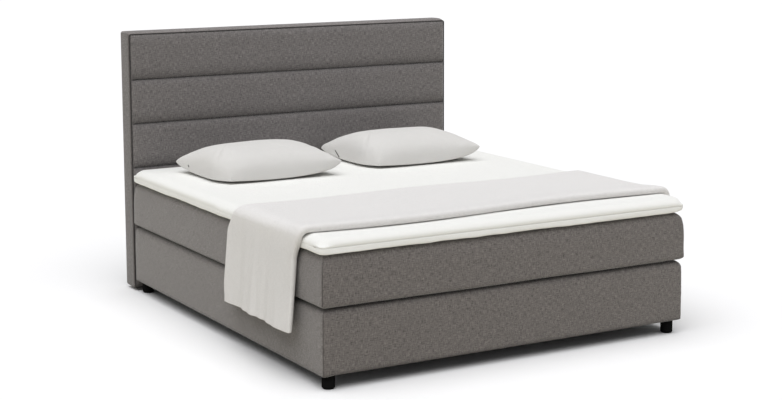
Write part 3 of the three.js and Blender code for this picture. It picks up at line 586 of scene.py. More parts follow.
def stapled_edge(name, low, high, axis, facing):
    """Wire staples round a flat rectangle between two corners, square to an axis, along its four sides."""
    crown, wire, rounding = 0.010, 0.0011, 0.0004
    across, up = others(axis)
    places = []
    for corner in (low, high):
        for run in (up, across):
            along = Vector([int(number == run) for number in range(3)])
            for step in spaced(low[run], high[run], staple_pitch):
                point = [step if number == run else corner[number] for number in range(3)]
                places.append((Vector(point), along))
    bm = bmesh.new()
    for point, along in places:
        bar = bmesh.ops.create_cube(bm, size=1)["verts"]
        bmesh.ops.scale(bm, verts=bar, vec=(crown, wire, wire))
        edges = [edge for edge in bm.edges if all(vert in bar for vert in edge.verts)]
        turn = Matrix((along, facing.cross(along), facing)).transposed().to_4x4()
        bmesh.ops.transform(bm, verts=bar, matrix=Matrix.Translation(point) @ turn)
        ends = [edge for edge in edges if abs((edge.verts[0].co - edge.verts[1].co).dot(along)) < 1e-7]
        soften(bm, ends, rounding, 1)
    hand_in(bm, name, spring_steel, "base", "steel", crease=40)


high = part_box("base_dust_cloth")[1]
from_hem, staple_z = 0.022, base_low - 0.0002
reach_x, reach_y = high[0] - from_hem, high[1] - from_hem
stapled_edge("base_staples", (-reach_x, -reach_y, staple_z), (reach_x, reach_y, staple_z), 2,
             Vector((0, 0, -1)))


# Legs and glides: five black moulded legs with a rounded rim and a turned groove, each screwed into the
# frame by a steel stud, with a felt glide pressed into its foot. Their outlines are in millimetres.
leg_finish, tree, shader, place = finish("black moulded leg")
scuffs = mottled(tree, place, 35.0, 4.0)
dress(tree, shader, mixed_colour(tree, scuffs, (0.007, 0.007, 0.0073), (0.013, 0.013, 0.0135)),
      ranged(tree, scuffs, 0.38, 0.62), mottled(tree, place, 900.0, 2.0), 0.4, 0.0002)
shader.inputs["Specular IOR Level"].default_value = 0.0
glide_felt = cloth_finish("black glide felt", (0.020, 0.020, 0.021), (0.006, 0.006, 0.0065), 900, 0.3, 0.2,
                          0.0004, 0.0, place="Object")
leg_line = [(0, 4.6), (21.5, 4.6), (23.2, 4.0), (25.4, 4.2), (26.6, 5.2), (27, 6.8), (27, 45.5), (26.6, 46.1),
            (26.0, 46.5), (26.0, 47.7), (26.6, 48.1), (27, 48.7), (27, 57.9), (26.6, 59.1), (25.4, 59.7),
            (4.0, 59.7), (4.0, 60.6), (3.6, 61.2), (4.0, 61.8), (4.0, 98.9), (3.2, 99.7), (0, 99.7)]
glide_line = [(0, 0), (21.6, 0), (22.6, 0.4), (23, 1.2), (23, 2.6), (22.6, 3.4), (21.6, 3.7), (0, 3.7)]


def turned(line, x, y, steps=48):
    """A round piece turned from its outline about an upright axis."""
    bm = bmesh.new()
    points = [bm.verts.new((x + radius / 1000, y, height / 1000)) for radius, height in line]
    edges = [bm.edges.new(pair) for pair in zip(points, points[1:])]
    bmesh.ops.spin(bm, geom=points + edges, cent=(x, y, 0), axis=(0, 0, 1), angle=2 * math.pi, steps=steps,
                   use_merge=True)
    bmesh.ops.remove_doubles(bm, verts=bm.verts, dist=1e-6)
    bmesh.ops.recalc_face_normals(bm, faces=bm.faces)
    return bm


for corner in corners + ["centre"]:
    low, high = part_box("leg_" + corner)
    x, y = (low[0] + high[0]) / 2, (low[1] + high[1]) / 2
    leg, glide = turned(leg_line, x, y), turned(glide_line, x, y)
    hand_in(leg, "turned_leg_" + corner, leg_finish, "base", "leg_plastic", "leg_" + corner, crease=38)
    hand_in(glide, "felt_glide_" + corner, glide_felt, "base", "felt", "glide_" + corner, crease=38)


# Headboard frame: softwood posts and rails with a board glued across their front and a foam sheet on the
# board.
wear(timber_upright, "headboard_left_post", "headboard_right_post")
wear(timber_across, "headboard_top_rail", "headboard_middle_rail", "headboard_bottom_rail")
board_finish = sawn_timber("pressed board", (0, 0, 0), (0.40, 0.27, 0.14, 1), (0.30, 0.19, 0.09, 1))
wear(board_finish, "headboard_front_board")


# Headboard front: the melange cloth over thick wadding, sewn through to the foam in level seams so that
# padded channels stand between them. Each channel swells quickly below its seam and sinks slowly to the next.
# Painted shade darkens each channel's lower part and its seam lines, and the cloth is painted lighter than
# the base's.
def only(kind, made):
    """The vertices, or the edges, among what an operator made."""
    return [item for item in made if isinstance(item, kind)]


low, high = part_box("headboard_front_pad")
board_low, board_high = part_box("headboard_border")
top_channel, channel_pitch, seam_count = 0.234, 0.217, 4
crown_drop, crown_height, seam_plane = 0.007, 0.014, 1.0143
swell_run, sink_run, end_run = 0.045, 0.095, 0.03
seam_depth, depth_above_seam, depth_below_seam = 0.0085, 0.011, 0.004
seam_line, low_shade, low_shade_run = 0.003, 0.36, 0.07
pad_back, pad_top = high[1], high[2] - crown_drop
seams = [board_high[2] - top_channel - channel_pitch * row for row in range(seam_count)]
seams = [pad_top] + seams + [low[2]]
long_wave, short_wave, draw_depth, seam_drift = 0.0010, 0.0005, 0.0016, 0.0012
rows_each, columns = 22, 180
row_count = rows_each * (len(seams) - 1)
half_width = (high[0] - low[0]) / 2
bm = bmesh.new()
bmesh.ops.create_grid(bm, x_segments=columns, y_segments=row_count, size=0.5)
painted_shade = bm.verts.layers.float.new("painted_shade")
for vert in bm.verts:
    column = round((vert.co.x + 0.5) * columns)
    row = round((0.5 - vert.co.y) * row_count)
    channel = min(row // rows_each, len(seams) - 2)
    share = (1 - math.cos((row / rows_each - channel) * math.pi)) / 2
    nearest_seam = channel + round(share)
    end = 2 * column / columns - 1
    x = math.copysign(half_width * (1 - (1 - abs(end)) ** 1.25), end)
    z = seams[channel] + (seams[channel + 1] - seams[channel]) * share
    tall = seams[channel] - seams[channel + 1]
    from_seam = tall * min(share, 1 - share)
    from_end = half_width - abs(x)
    rise, fall = min(1, tall * share / swell_run), min(1, tall * (1 - share) / sink_run)
    crown = math.sqrt(1 - (1 - rise) ** 2) * (1 - (1 - fall) ** 2) ** 0.85
    crown *= math.sqrt(max(0, 1 - (1 - min(1, from_end / end_run)) ** 2))
    inner_seam = 0 < row < row_count and seams[0] - z > 0.05 and z - seams[-1] > 0.05
    wave = long_wave * uneven(x * 4.3, channel * 7.0, z * 5) + short_wave * uneven(x * 13, z * 13, 2)
    draw = math.exp(-from_seam / 0.016) * (0.5 + 0.5 * uneven(x * 34, nearest_seam * 5.0, 0))
    y = seam_plane + (wave - crown_height + draw_depth * draw) * crown
    # Painted shade: each channel's lower part darkens towards the seam below it.
    shaded = low_shade * (1 - min(1, tall * (1 - share) / low_shade_run)) ** 2
    if inner_seam:
        reach = depth_above_seam if share >= 0.5 else depth_below_seam
        y += seam_depth * math.exp(-from_seam / reach) * min(1, from_end / 0.02)
        z += seam_drift * uneven(x * 3.1, nearest_seam * 9.0, 4) * math.exp(-from_seam / 0.03)
        # Painted shade along the seam line.
        shaded = max(shaded, math.exp(-from_seam / seam_line) * min(1, from_end / 0.01))
    vert[painted_shade] = shaded
    vert.co = (x, max(y, low[1]), z)
lay_flat(bm, lambda vert: (vert.co.x, vert.co.z))
walls = bmesh.ops.extrude_edge_only(bm, edges=[edge for edge in bm.edges if edge.is_boundary])["geom"]
for vert in only(bmesh.types.BMVert, walls):
    vert.co.y = pad_back
bmesh.ops.holes_fill(bm, edges=[edge for edge in bm.edges if edge.is_boundary], sides=0)
bmesh.ops.recalc_face_normals(bm, faces=bm.faces)
# Painted light: the headboard front's melange has lighter yarns than the base's, for the stronger light on
# it.
pad_finish = melange("grey melange headboard front", (0.345, 0.322, 0.316), (0.072, 0.067, 0.068), 0.60)
pad = hand_in(bm, "headboard_channels", pad_finish, "base", "upholstery", "headboard_front_pad", crease=60)


# Headboard piping: a round cord in a bias strip of cloth, sewn in between the front and the border, all the
# way round. The strip is coloured much darker than the melange: painted shade for the narrow gaps beside the
# cord.
welt_finish = cloth_finish("dark piping cloth", (0.085, 0.080, 0.078), (0.030, 0.028, 0.028), 700, 0.5, 0.1,
                           0.0004, 0.1)
low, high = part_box("headboard_welt")
welt_radius, welt_y = (high[1] - low[1]) / 2, (low[1] + high[1]) / 2
bend_radius = 0.0115 - welt_radius
left, right = low[0] + welt_radius, high[0] - welt_radius
foot, head = low[2] + welt_radius, high[2] - welt_radius - crown_drop
bm = bmesh.new()
bmesh.ops.create_circle(bm, cap_ends=False, radius=welt_radius, segments=14)
bmesh.ops.rotate(bm, verts=bm.verts, cent=(0, 0, 0), matrix=Matrix.Rotation(math.pi / 2, 3, "Y"))
bmesh.ops.translate(bm, verts=bm.verts, vec=(left + bend_radius, welt_y, head))
ring = bm.edges[:]
level_run, upright_run = right - left - 2 * bend_radius, head - foot - 2 * bend_radius
runs = [((1, 0, 0), level_run, (right - bend_radius, head - bend_radius)),
        ((0, 0, -1), upright_run, (right - bend_radius, foot + bend_radius)),
        ((-1, 0, 0), level_run, (left + bend_radius, foot + bend_radius)),
        ((0, 0, 1), upright_run, (left + bend_radius, head - bend_radius))]
for direction, length, centre in runs:
    steps = round(length / 0.03)
    for step in range(steps):
        made = bmesh.ops.extrude_edge_only(bm, edges=ring)["geom"]
        bmesh.ops.translate(bm, verts=only(bmesh.types.BMVert, made), vec=Vector(direction) * length / steps)
        ring = [edge for edge in only(bmesh.types.BMEdge, made) if len(edge.link_faces) == 1]
    made = bmesh.ops.spin(bm, geom=ring, cent=(centre[0], welt_y, centre[1]), axis=(0, 1, 0),
                          angle=math.pi / 2, steps=6)
    ring = only(bmesh.types.BMEdge, made["geom_last"])
bmesh.ops.remove_doubles(bm, verts=bm.verts, dist=1e-5)
bmesh.ops.recalc_face_normals(bm, faces=bm.faces)
lay_cloth(bm)
hand_in(bm, "headboard_piping", welt_finish, "base", "welt", "headboard_welt")


# Headboard border: a strip of the melange cloth round the sides, top and bottom, drawn over the back edge
# and stapled to the frame. Its top slopes down to the piping. Its cloth is painted much lighter, and painted
# shade darkens all but a strip along the top, which stays as a painted highlight.
low, high = Vector(board_low), Vector(board_high)
corner_radius, back_radius, turned_in = 0.012, 0.007, 0.022
top_slope, slope_run, border_shade = 0.0085, 0.05, 0.44
bulge_depth, small_bulge = 0.0007, 0.0004
bm = block(low, high)
front_to_back = [edge for edge in bm.edges if abs(edge.verts[0].co.y - edge.verts[1].co.y) > 0.01]
soften(bm, front_to_back, corner_radius, 6)
soften(bm, [edge for edge in bm.edges if lies_at(edge, 1, high.y)], back_radius, 4)
bmesh.ops.delete(bm, geom=[face for face in bm.faces if lies_at(face, 1, low.y)], context="FACES_ONLY")
back = [face for face in bm.faces if lies_at(face, 1, high.y)]
bmesh.ops.inset_region(bm, faces=back, thickness=turned_in, use_even_offset=True)
bmesh.ops.delete(bm, geom=[face for face in back if face.is_valid], context="FACES")
cut_rows(bm, 0, spaced(low.x, high.x, 0.03))
cut_rows(bm, 1, spaced(low.y, high.y - back_radius, 0.016))
cut_rows(bm, 2, spaced(low.z, high.z, 0.03))
lay_cloth(bm)
painted_shade = bm.verts.layers.float.new("painted_shade")
half, middle = (high - low) / 2, (high + low) / 2
for vert in bm.verts:
    place = vert.co
    in_x, in_z = half.x - abs(place.x - middle.x), half.z - abs(place.z - middle.z)
    # Painted highlight and shade: the top strip keeps the light cloth, and the rest is darkened by painted
    # shade.
    vert[painted_shade] = 0 if in_z < 0.004 and place.z > middle.z else border_shade
    bulge = bulge_depth + bulge_depth * uneven(place.x * 5, place.y * 9, place.z * 5)
    bulge += small_bulge * uneven(place.x * 17, place.y * 12, place.z * 17)
    bulge *= math.sin(held((place.y - low.y) / (high.y - low.y)) * math.pi)
    if in_x < corner_radius:
        place.x += math.copysign(bulge, place.x - middle.x)
    if in_z < corner_radius:
        place.z += math.copysign(bulge, place.z - middle.z)
    if place.z > middle.z:
        from_front = min(1, (place.y - low.y) / slope_run)
        place.z -= top_slope * (1 - from_front) ** 2 * held(1 - in_z / 0.04)
# Much lighter yarns than the base's cloth, for the painted highlight along the top strip.
border_finish = melange("grey melange border", (0.437, 0.397, 0.382), (0.080, 0.073, 0.072), 0.5)
upholster(bm, "headboard_side_border", border_finish, "base", "upholstery", "headboard_border")


# Headboard back: the black spun lining, folded in at its edges and stapled over the ends of the border
# cloth.
low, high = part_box("headboard_back_cloth")
headboard_back, folded_in, slack_high, uneven_high = high[1], 0.002, 0.0008, 0.0004


def tacked(a, b, side, end):
    """The lining is drawn flat where it is stapled, and stands slack between the staples."""
    along = a if end < side else b
    slack = (0.5 - 0.5 * math.cos(2 * math.pi * along / staple_pitch)) * math.exp(-min(side, end) / 0.04)
    return headboard_back - sheet_gap + slack_high * slack + uneven_high * uneven(a * 2.5, b * 2.5, 6)


backing = laid_cloth("headboard_back_lining", "headboard_back_cloth", lining_finish, "base", "dark_cloth",
                     folded_in, 0.0008, tacked, pitch=0.02, axis=1)
from_hem, staple_y = 0.014, headboard_back + 0.0001
stapled_edge("headboard_staples", (low[0] + from_hem, staple_y, low[2] + from_hem),
             (high[0] - from_hem, staple_y, high[2] - from_hem), 1, Vector((0, 1, 0)))


# Mattress filling: pocket springs in spun cloth, edge foam round them, and a foam sheet above and below,
# glued together.
ticking = cloth_finish("spun pocket cloth", (0.62, 0.61, 0.58), (0.50, 0.49, 0.47), 900, 0.2, 0.15, 0.0003,
                       0.05, place="Object")
wear(ticking, "mattress_pocket_springs")


# Mattress panels: quilted ticking on top and the non-slip cloth below, sewn to the side cover inside its
# rounded edges.
quilt_finish = cloth_finish("quilted ticking", (0.74, 0.73, 0.70), (0.60, 0.59, 0.57), 900, 0.25, 0.1, 0.0003,
                            0.08)
mattress_top, mattress_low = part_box("mattress_top_panel")[1][2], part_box("mattress_bottom_panel")[0][2]
quilt_pitch, quilt_depth = 0.18, 0.0009


def quilted(a, b, side, end):
    """Shallow quilting lines in diamonds."""
    lines = [abs(math.sin(math.pi * (a + turn * b) / quilt_pitch)) for turn in (1, -1)]
    return mattress_top - sheet_gap - quilt_depth * math.exp(-min(lines) / 0.12)


def under_mattress(a, b, side, end):
    """The cloth under the mattress is drawn up a little by the foam that it covers."""
    return mattress_low + sheet_gap + slack_depth * (0.5 + 0.5 * uneven(a * 3, b * 3, 8))


top_panel = laid_cloth("mattress_quilted_panel", "mattress_top_panel", quilt_finish, "mattress", "ticking",
                       0.0, 0.001, quilted, pitch=0.015)
bottom_panel = laid_cloth("mattress_underside_panel", "mattress_bottom_panel", platform_finish, "mattress",
                          "dark_cloth", 0.0, 0.001, under_mattress)


# Mattress cover: the same melange cloth round the sides, with a sewn seam at each corner, softly bowed by
# the foam that fills its edge.
def edge_ring(shape, gap, deeper):
    """The foam that fills the edge under a side cover, as a closed ring."""
    ring = shape.copy()
    ring.normal_update()
    for vert in ring.verts:
        vert.co -= vert.normal * gap
    grown = bmesh.ops.extrude_edge_only(ring, edges=[edge for edge in ring.edges if edge.is_boundary])["geom"]
    inner = only(bmesh.types.BMVert, grown)
    reach = [max(vert.co[axis] for vert in inner) for axis in (0, 1)]
    for vert in inner:
        vert.co.x *= 1 - deeper / reach[0]
        vert.co.y *= 1 - deeper / reach[1]
    bmesh.ops.bridge_loops(ring, edges=[edge for edge in ring.edges if edge.is_boundary])
    bmesh.ops.recalc_face_normals(ring, faces=ring.faces)
    return ring


mattress_shape = cover_shape("mattress_side_cover", corner=0.008, top=0.033, bottom=0.014, turn_in=0.048,
                             in_above=0.004, in_below=-0.0035, bow=0.0025, lift=0.0050, left_droop=0,
                             right_swell=0.005, ripple=0.0040)
foam_gap, foam_depth = 0.0028, 0.011
edge_foam = hand_in(edge_ring(mattress_shape, foam_gap, foam_depth), "mattress_edge_padding", cut_foam,
                    "mattress", "foam", "mattress_edge_foam")
upholster(mattress_shape, "mattress_upholstery", upholstery, "mattress", "upholstery", "mattress_side_cover")


# Topper: a foam slab in a white knitted cover of two halves that a fine zip joins round its sides. The knit
# is ribbed across the bed, is drawn down round the edge and creases softly where it turns.
topper_finish = cloth_finish("white knitted cover", (0.985, 0.985, 0.955), (0.94, 0.94, 0.91), 800, 0.45, 0.1,
                             0.0002, 0.04)
low, high = Vector(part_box("topper_lower_cover")[0]), Vector(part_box("topper_upper_cover")[1])
zip_low, zip_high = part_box("topper_zip")[0][2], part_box("topper_zip")[1][2]
corner_radius, top_radius, bottom_radius = 0.020, 0.030, 0.008
shoulder_reach, shoulder_fall, shoulder_power = 0.044, 0.026, 1.7
soft_corner, right_sharpness = 0.055, 2.2
rib_pitch, rib_depth, dip_depth = 0.05, 0.0010, 0.0012
crease_depth, wave_depth, set_back, low_swell, mid_swell = 0.0018, 0.0028, 0.0006, 0.0030, 0.0045
right_tuck, seam_recess, hem_lift = 0.006, 0.0004, 0.0050


def inside_outline(in_x, in_y, radius):
    """How far a place is inside the topper's outline, round its corners too."""
    if in_x < radius and in_y < radius:
        return radius - math.hypot(radius - in_x, radius - in_y)
    return min(in_x, in_y)


def edge_fall(inset, soft_inset):
    """How much lower the drawn-down knit lies than a plain rounded edge, at distances inside its outline."""
    inset = max(0, inset)
    plain = top_radius * (1 - math.sqrt(1 - (1 - inset / top_radius) ** 2)) if inset < top_radius else 0
    share = held(1 - soft_inset / shoulder_reach)
    drawn = shoulder_fall * (1 - (1 - share ** shoulder_power) ** (1 / shoulder_power))
    return drawn + 0.25 * max(0, -soft_inset) - plain


bm = rounded_block(low, high, corner_radius, top_radius, bottom_radius)
edge_cuts, fine_from, fine_pitch = [0.034, 0.038, 0.043, 0.050], 0.036, 0.0125
cut_rows(bm, 0, spaced(low.x + edge_cuts[-1], high.x - edge_cuts[-1], 0.03)
         + [low.x + cut for cut in edge_cuts] + [high.x - cut for cut in edge_cuts])
cut_rows(bm, 1, spaced(low.y + fine_from, high.y - fine_from, fine_pitch)
         + [low.y + fine_from, high.y - fine_from])
cut_rows(bm, 2, [zip_low, zip_high, zip_low - 0.004, zip_high + 0.0015])
lay_cloth(bm)
half, middle = (high - low) / 2, (high + low) / 2
for vert in bm.verts:
    place = vert.co.copy()
    in_x, in_y, away = way_out(place, half, middle, top_radius)
    at_right = place.x > middle.x
    inside = inside_outline(in_x, in_y, corner_radius)
    upper = max(0, (place.z - zip_high) / (high.z - zip_high))
    lower = max(0, (zip_low - place.z) / (zip_low - low.z))
    on_top = 1 if abs(place.z - high.z) < 1e-6 else 0
    rib = math.sin(2 * math.pi * (place.y + 0.004 * uneven(place.x * 2.5, place.y * 2.5, 0)) / rib_pitch)
    soft_inside = inside_outline(in_x * (right_sharpness if at_right else 1), in_y, soft_corner)
    place.z -= min(1, upper * 12) * edge_fall(inside, soft_inside)
    level = on_top * held((inside - top_radius) / 0.04)
    place.z -= level * rib_depth * (1 + rib)
    place.z -= level * dip_depth * (0.5 + 0.5 * uneven(place.x * 1.7, place.y * 1.7, 3))
    if inside < top_radius:
        away.normalize()
        turn = max(upper, lower)
        push = crease_depth * uneven(place.x * 5, place.y * 5, place.z * 95) * turn * (1 - turn ** 6)
        wave = wave_depth * uneven(place.x * 3.2, place.y * 3.2, lower * 2 + 5) * min(1, 2 * lower)
        push += wave - set_back
        push += low_swell * min(1, 3 * lower)
        on_side = in_x < top_radius
        push += mid_swell * max(0, 1 - abs(place.z - zip_high) / 0.03) * (1 if on_side else 0.3)
        push -= right_tuck * lower * lower * (1 if at_right and on_side else 0)
        plain_side = place.x < middle.x and in_y > 0.05
        from_zip = max(0, place.z - zip_high, zip_low - place.z)
        push -= (0 if plain_side else seam_recess) * math.exp(-from_zip / 0.003)
        if place.y > middle.y:
            push = min(push, 0)
        place += away * push * min(1, (top_radius - inside) / 0.006)
        sway = 0.5 + 0.7 * uneven(place.x * 4, place.y * 4, 11) + 0.35 * uneven(place.x * 13, place.y * 13, 4)
        place.z += hem_lift * max(0, sway) * min(1, 1.5 * lower) * held((top_radius - inside) / 0.01)
    vert.co = place
core_gap = 0.0032
foam_block = bm.copy()
foam_block.normal_update()
for vert in foam_block.verts:
    vert.co -= vert.normal * core_gap
topper_foam = hand_in(foam_block, "topper_foam_core", cut_foam, "topper", "foam", "topper_core")


def part_of(whole, keep):
    """A copy of the faces that keep is true for."""
    part = whole.copy()
    drop = [face for face in part.faces if not keep(face.calc_center_median())]
    bmesh.ops.delete(part, geom=drop, context="FACES")
    return part


def above_zip(at):
    """The upper half, which falls over the zip along the left side."""
    on_left = at.x < low.x + 0.03 and low.y + 0.06 < at.y < high.y - 0.06
    return at.z > zip_high - 1e-4 or (at.z > zip_low and on_left)


upper_half = part_of(bm, above_zip)
lower_half = part_of(bm, lambda at: at.z < zip_low + 1e-4)
zip_band = part_of(bm, lambda at: zip_low - 1e-4 < at.z < zip_high + 1e-4)
bm.free()
for name, half_cover, node in (("topper_top_cover", upper_half, "topper_upper_cover"),
                               ("topper_under_cover", lower_half, "topper_lower_cover")):
    upholster(half_cover, name, topper_finish, "topper", "topper_cloth", node)

zip_finish, tree, shader, place = finish("white zip", "UV")
bands = put(tree, "TexWave", {"Vector": place, "Scale": 180.0}, wave_type="BANDS", bands_direction="X")
teeth = bands.outputs["Fac"]
tint = mixed_colour(tree, teeth, (0.84, 0.84, 0.82), (0.95, 0.95, 0.93))
dress(tree, shader, tint, 0.5, teeth, 0.8, 0.0006)
for vert in zip_band.verts:
    away = Vector((vert.co.x - middle.x, vert.co.y - middle.y, 0))
    in_x, in_y = half.x - abs(away.x), half.y - abs(away.y)
    tucked = 0.0030 if away.x < 0 and in_y > 0.04 else 0.0003
    vert.co.x -= math.copysign(tucked, away.x) if in_x < 0.02 else 0
    vert.co.y -= math.copysign(0.0003, away.y) if in_y < 0.02 else 0
zip_tape = hand_in(zip_band, "topper_zip_tape", zip_finish, "topper", "topper_cloth", "topper_zip")
thicken(zip_tape, 0.001)


# Throw: a soft quilted bedspread folded in two along its length, laid over the foot end with the fold
# forward. It hangs deep over the left side, in a few soft upright folds, and a little over the right.
throw_finish = cloth_finish("pale grey throw", (0.995, 0.978, 0.962), (0.815, 0.80, 0.785), 620, 0.55, 0.10,
                            0.0005, 0.0, seams=True)
bed_half, topper_top = 0.9048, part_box("topper_upper_cover")[1][2]
left_drop, right_drop = 0.406 - shoulder_fall, 0.072 - shoulder_fall
bend_z = topper_top - shoulder_fall
arc, flat_across = 0.048, 2 * (bed_half - 0.03)
throw_run = right_drop + arc + flat_across + arc + left_drop
layer_thickness, layer_gap = 0.0085, 0.0006
fold_from_foot, hem_from_foot = 0.132, 0.757
nose_on_top, nose_hanging = 0.031, 0.019
foot_end, left_flare, hem_behind = -1.0, 0.026, 0.008
hung_fold, fold_flare, small_ripple, small_fold, upper_lift = 0.009, 0.014, 0.0022, 0.0055, 0.0016
back_steps, nose_steps = 52, 12


def smooth(share):
    """A share that starts and ends gently."""
    share = held(share)
    return share * share * (3 - 2 * share)


def over_shoulder(turn, reach, power):
    """Way in from the topper's outline, way down, and the direction out, from the top (0) to the side (1)."""
    across, up = math.sin(turn * math.pi / 2), max(0, math.cos(turn * math.pi / 2))
    out_x, out_z = across ** (2 - 2 / power) / reach, up ** (2 - 2 / power) / shoulder_fall
    size = math.hypot(out_x, out_z)
    inward, down = reach * (1 - across ** (2 / power)), shoulder_fall * (1 - up ** (2 / power))
    return inward, down, out_x / size, out_z / size


def over_bed(along, reach, power):
    """The throw's underside from right hem to left: its place, its way out and its share of the left hang."""
    left_hang = arc + left_drop
    if along < right_drop:
        return bed_half, bend_z - right_drop + along, 1, 0, 0
    along -= right_drop
    if along < arc:
        inward, down, out_x, out_z = over_shoulder(1 - along / arc, reach, power)
        return bed_half - inward, topper_top - down, out_x, out_z, 0
    along -= arc
    if along < flat_across:
        return (bed_half - reach) * (1 - 2 * along / flat_across), topper_top, 0, 1, 0
    along -= flat_across
    if along < arc:
        inward, down, out_x, out_z = over_shoulder(along / arc, reach, power)
        return inward - bed_half, topper_top - down, -out_x, out_z, along / left_hang
    share = (along - arc) / left_drop
    return -bed_half - left_flare * share ** 1.4, bend_z - share * left_drop, -1, 0, along / left_hang


def fold_and_hem(x, hang):
    """Where the fold at the front and the hem at the back lie, at a place across the bed."""
    on_bed = 1 - smooth(hang * 4)
    front = foot_end + fold_from_foot + 0.056 * smooth(hang / 0.32) + 0.027 * math.sin(3.7 * x) * on_bed
    back = foot_end + hem_from_foot + 0.070 * smooth(hang / 0.3) + 0.014 * math.cos(6.28 * x + 0.2) * on_bed
    return front - 0.010 * smooth((hang - 0.5) / 0.5), back - 0.018 * smooth((hang - 0.8) / 0.2)


def in_section(row, front, back, reach):
    """Where a row lies between front and back, counted from the upper hem, and 1 if above or 0 if below."""
    if row < back_steps:
        share = row / back_steps
        return back + (front + reach - back) * (1 - (1 - share) ** 1.15), 1
    if row > back_steps + nose_steps:
        share = (section_steps - row) / back_steps
        return back - hem_behind + (front + reach - back + hem_behind) * (1 - (1 - share) ** 1.15), 0
    angle = math.pi * (row - back_steps) / nose_steps
    return front + reach - (reach - layer_thickness / 2) * math.sin(angle), (1 + math.cos(angle)) / 2


steps_along = [0.0]
while steps_along[-1] < throw_run:
    place = steps_along[-1]
    in_right_bend = right_drop - 0.01 < place < right_drop + arc + 0.01
    in_left_bend = throw_run - left_drop - arc - 0.02 < place < throw_run - left_drop + 0.01
    steps_along.append(place + (0.006 if in_right_bend or in_left_bend else 0.012))
steps_along[-1] = throw_run
section_steps = 2 * back_steps + nose_steps
bm = bmesh.new()
bmesh.ops.create_grid(bm, x_segments=len(steps_along) - 1, y_segments=section_steps, size=0.5)
painted_shade = bm.verts.layers.float.new("painted_shade")
cloth_place = {}
for vert in bm.verts:
    along = steps_along[round((vert.co.x + 0.5) * (len(steps_along) - 1))]
    row = round((vert.co.y + 0.5) * section_steps)
    x, z, out_x, out_z, hang = over_bed(along, 0.03, 2)
    front, back = fold_and_hem(x, hang)
    nose = nose_on_top + (nose_hanging - nose_on_top) * min(1, 1.6 * hang)
    reach = nose / 2
    y, upper = in_section(row, front, back, reach)
    slack = smooth((y - front) / 0.5) * (1 if along > throw_run / 2 else 0.1)
    x, z, out_x, out_z, hang = over_bed(along, 0.022 + 0.026 * slack, 2.4 - 0.5 * slack)
    closed = 2 * layer_thickness + layer_gap
    thick = nose + (closed - nose) * smooth((y - front - reach) / 0.16)
    level = layer_thickness / 2 + upper * (thick - layer_thickness)
    fold_place = (y - front) / (back - front)
    drift = 0.5 * uneven(fold_place * 3.1, hang * 0.7, 5)
    wave = (1 - math.cos(2 * math.pi * 2.5 * fold_place)) / 2
    wave += 0.32 * math.sin(2 * math.pi * (7.5 * fold_place + drift)) * math.sin(math.pi * held(fold_place))
    flare = fold_flare * hang ** 1.4 * (1 - held(fold_place))
    ripple = small_ripple * uneven(y * 6, along * 1.6, 2)
    soft = small_fold * hang * uneven(y * 14, along * 2.0, 7)
    out = level + hung_fold * hang * wave + upper * (ripple + soft) + upper_lift * upper + flare
    vert.co = (x + out_x * out, y, z + out_z * out)
    cloth_place[vert] = (along, y if upper > 0.5 else 2 * front - y)
    # Painted shade: the hanging part is darker, and so is the lower layer close to the fold.
    between_layers = (1 - upper) * math.exp(-max(0, y - front - reach) / 0.03)
    vert[painted_shade] = 0.085 * smooth(hang * 3) + 0.10 * between_layers
lay_flat(bm, cloth_place.get)
bmesh.ops.recalc_face_normals(bm, faces=bm.faces)
throw = hand_in(bm, "folded_throw", throw_finish, "throw", "throw_cloth", "throw")
thicken(throw, layer_thickness - layer_gap, offset=0)
hem = throw.modifiers.new("rounded hem", "BEVEL")
hem.width = 0.003
hem.segments = 3
hem.limit_method = "ANGLE"
hem.angle_limit = math.radians(60)


# Pillows: two 50 x 70 cm fibre pillows in pale cotton slips, with the seam all round and a small zip pull at
# the left end. Filling rounds them, draws their sides in and flattens them where they lie.
pillow_finish = cloth_finish("pale cotton slip", (0.825, 0.812, 0.79), (0.722, 0.71, 0.685), 1100, 0.35, 0.12,
                             0.00025, 0.0)
seam_height, corner_heights = 0.013, {(0, 0): 0.014, (0, 1): 0.051, (1, 0): 0.070, (1, 1): 0.051}
end_draw, side_draw, corner_tuck = 0.029, 0.010, 0.42
dent_depth, fold_depth, pucker_depth = 0.0040, 0.0055, 0.008
# Each crease has its weight, place, turn, length and width.
creases = [(1.0, 0.06, -0.10, -0.9, 0.07, 0.008), (0.8, 0.20, -0.06, -0.6, 0.09, 0.010),
           (0.8, -0.24, -0.08, 0.9, 0.08, 0.008), (-1.0, -0.19, -0.04, 1.0, 0.09, 0.012)]


def crease(x, y, at_x, at_y, turn, length, width):
    """A soft crease: 1 along its line, and nothing past its ends and sides."""
    along = (x - at_x) * math.cos(turn) + (y - at_y) * math.sin(turn)
    aside = (y - at_y) * math.cos(turn) - (x - at_x) * math.sin(turn)
    return math.exp(-(along / length) ** 2 - (aside / width) ** 2)


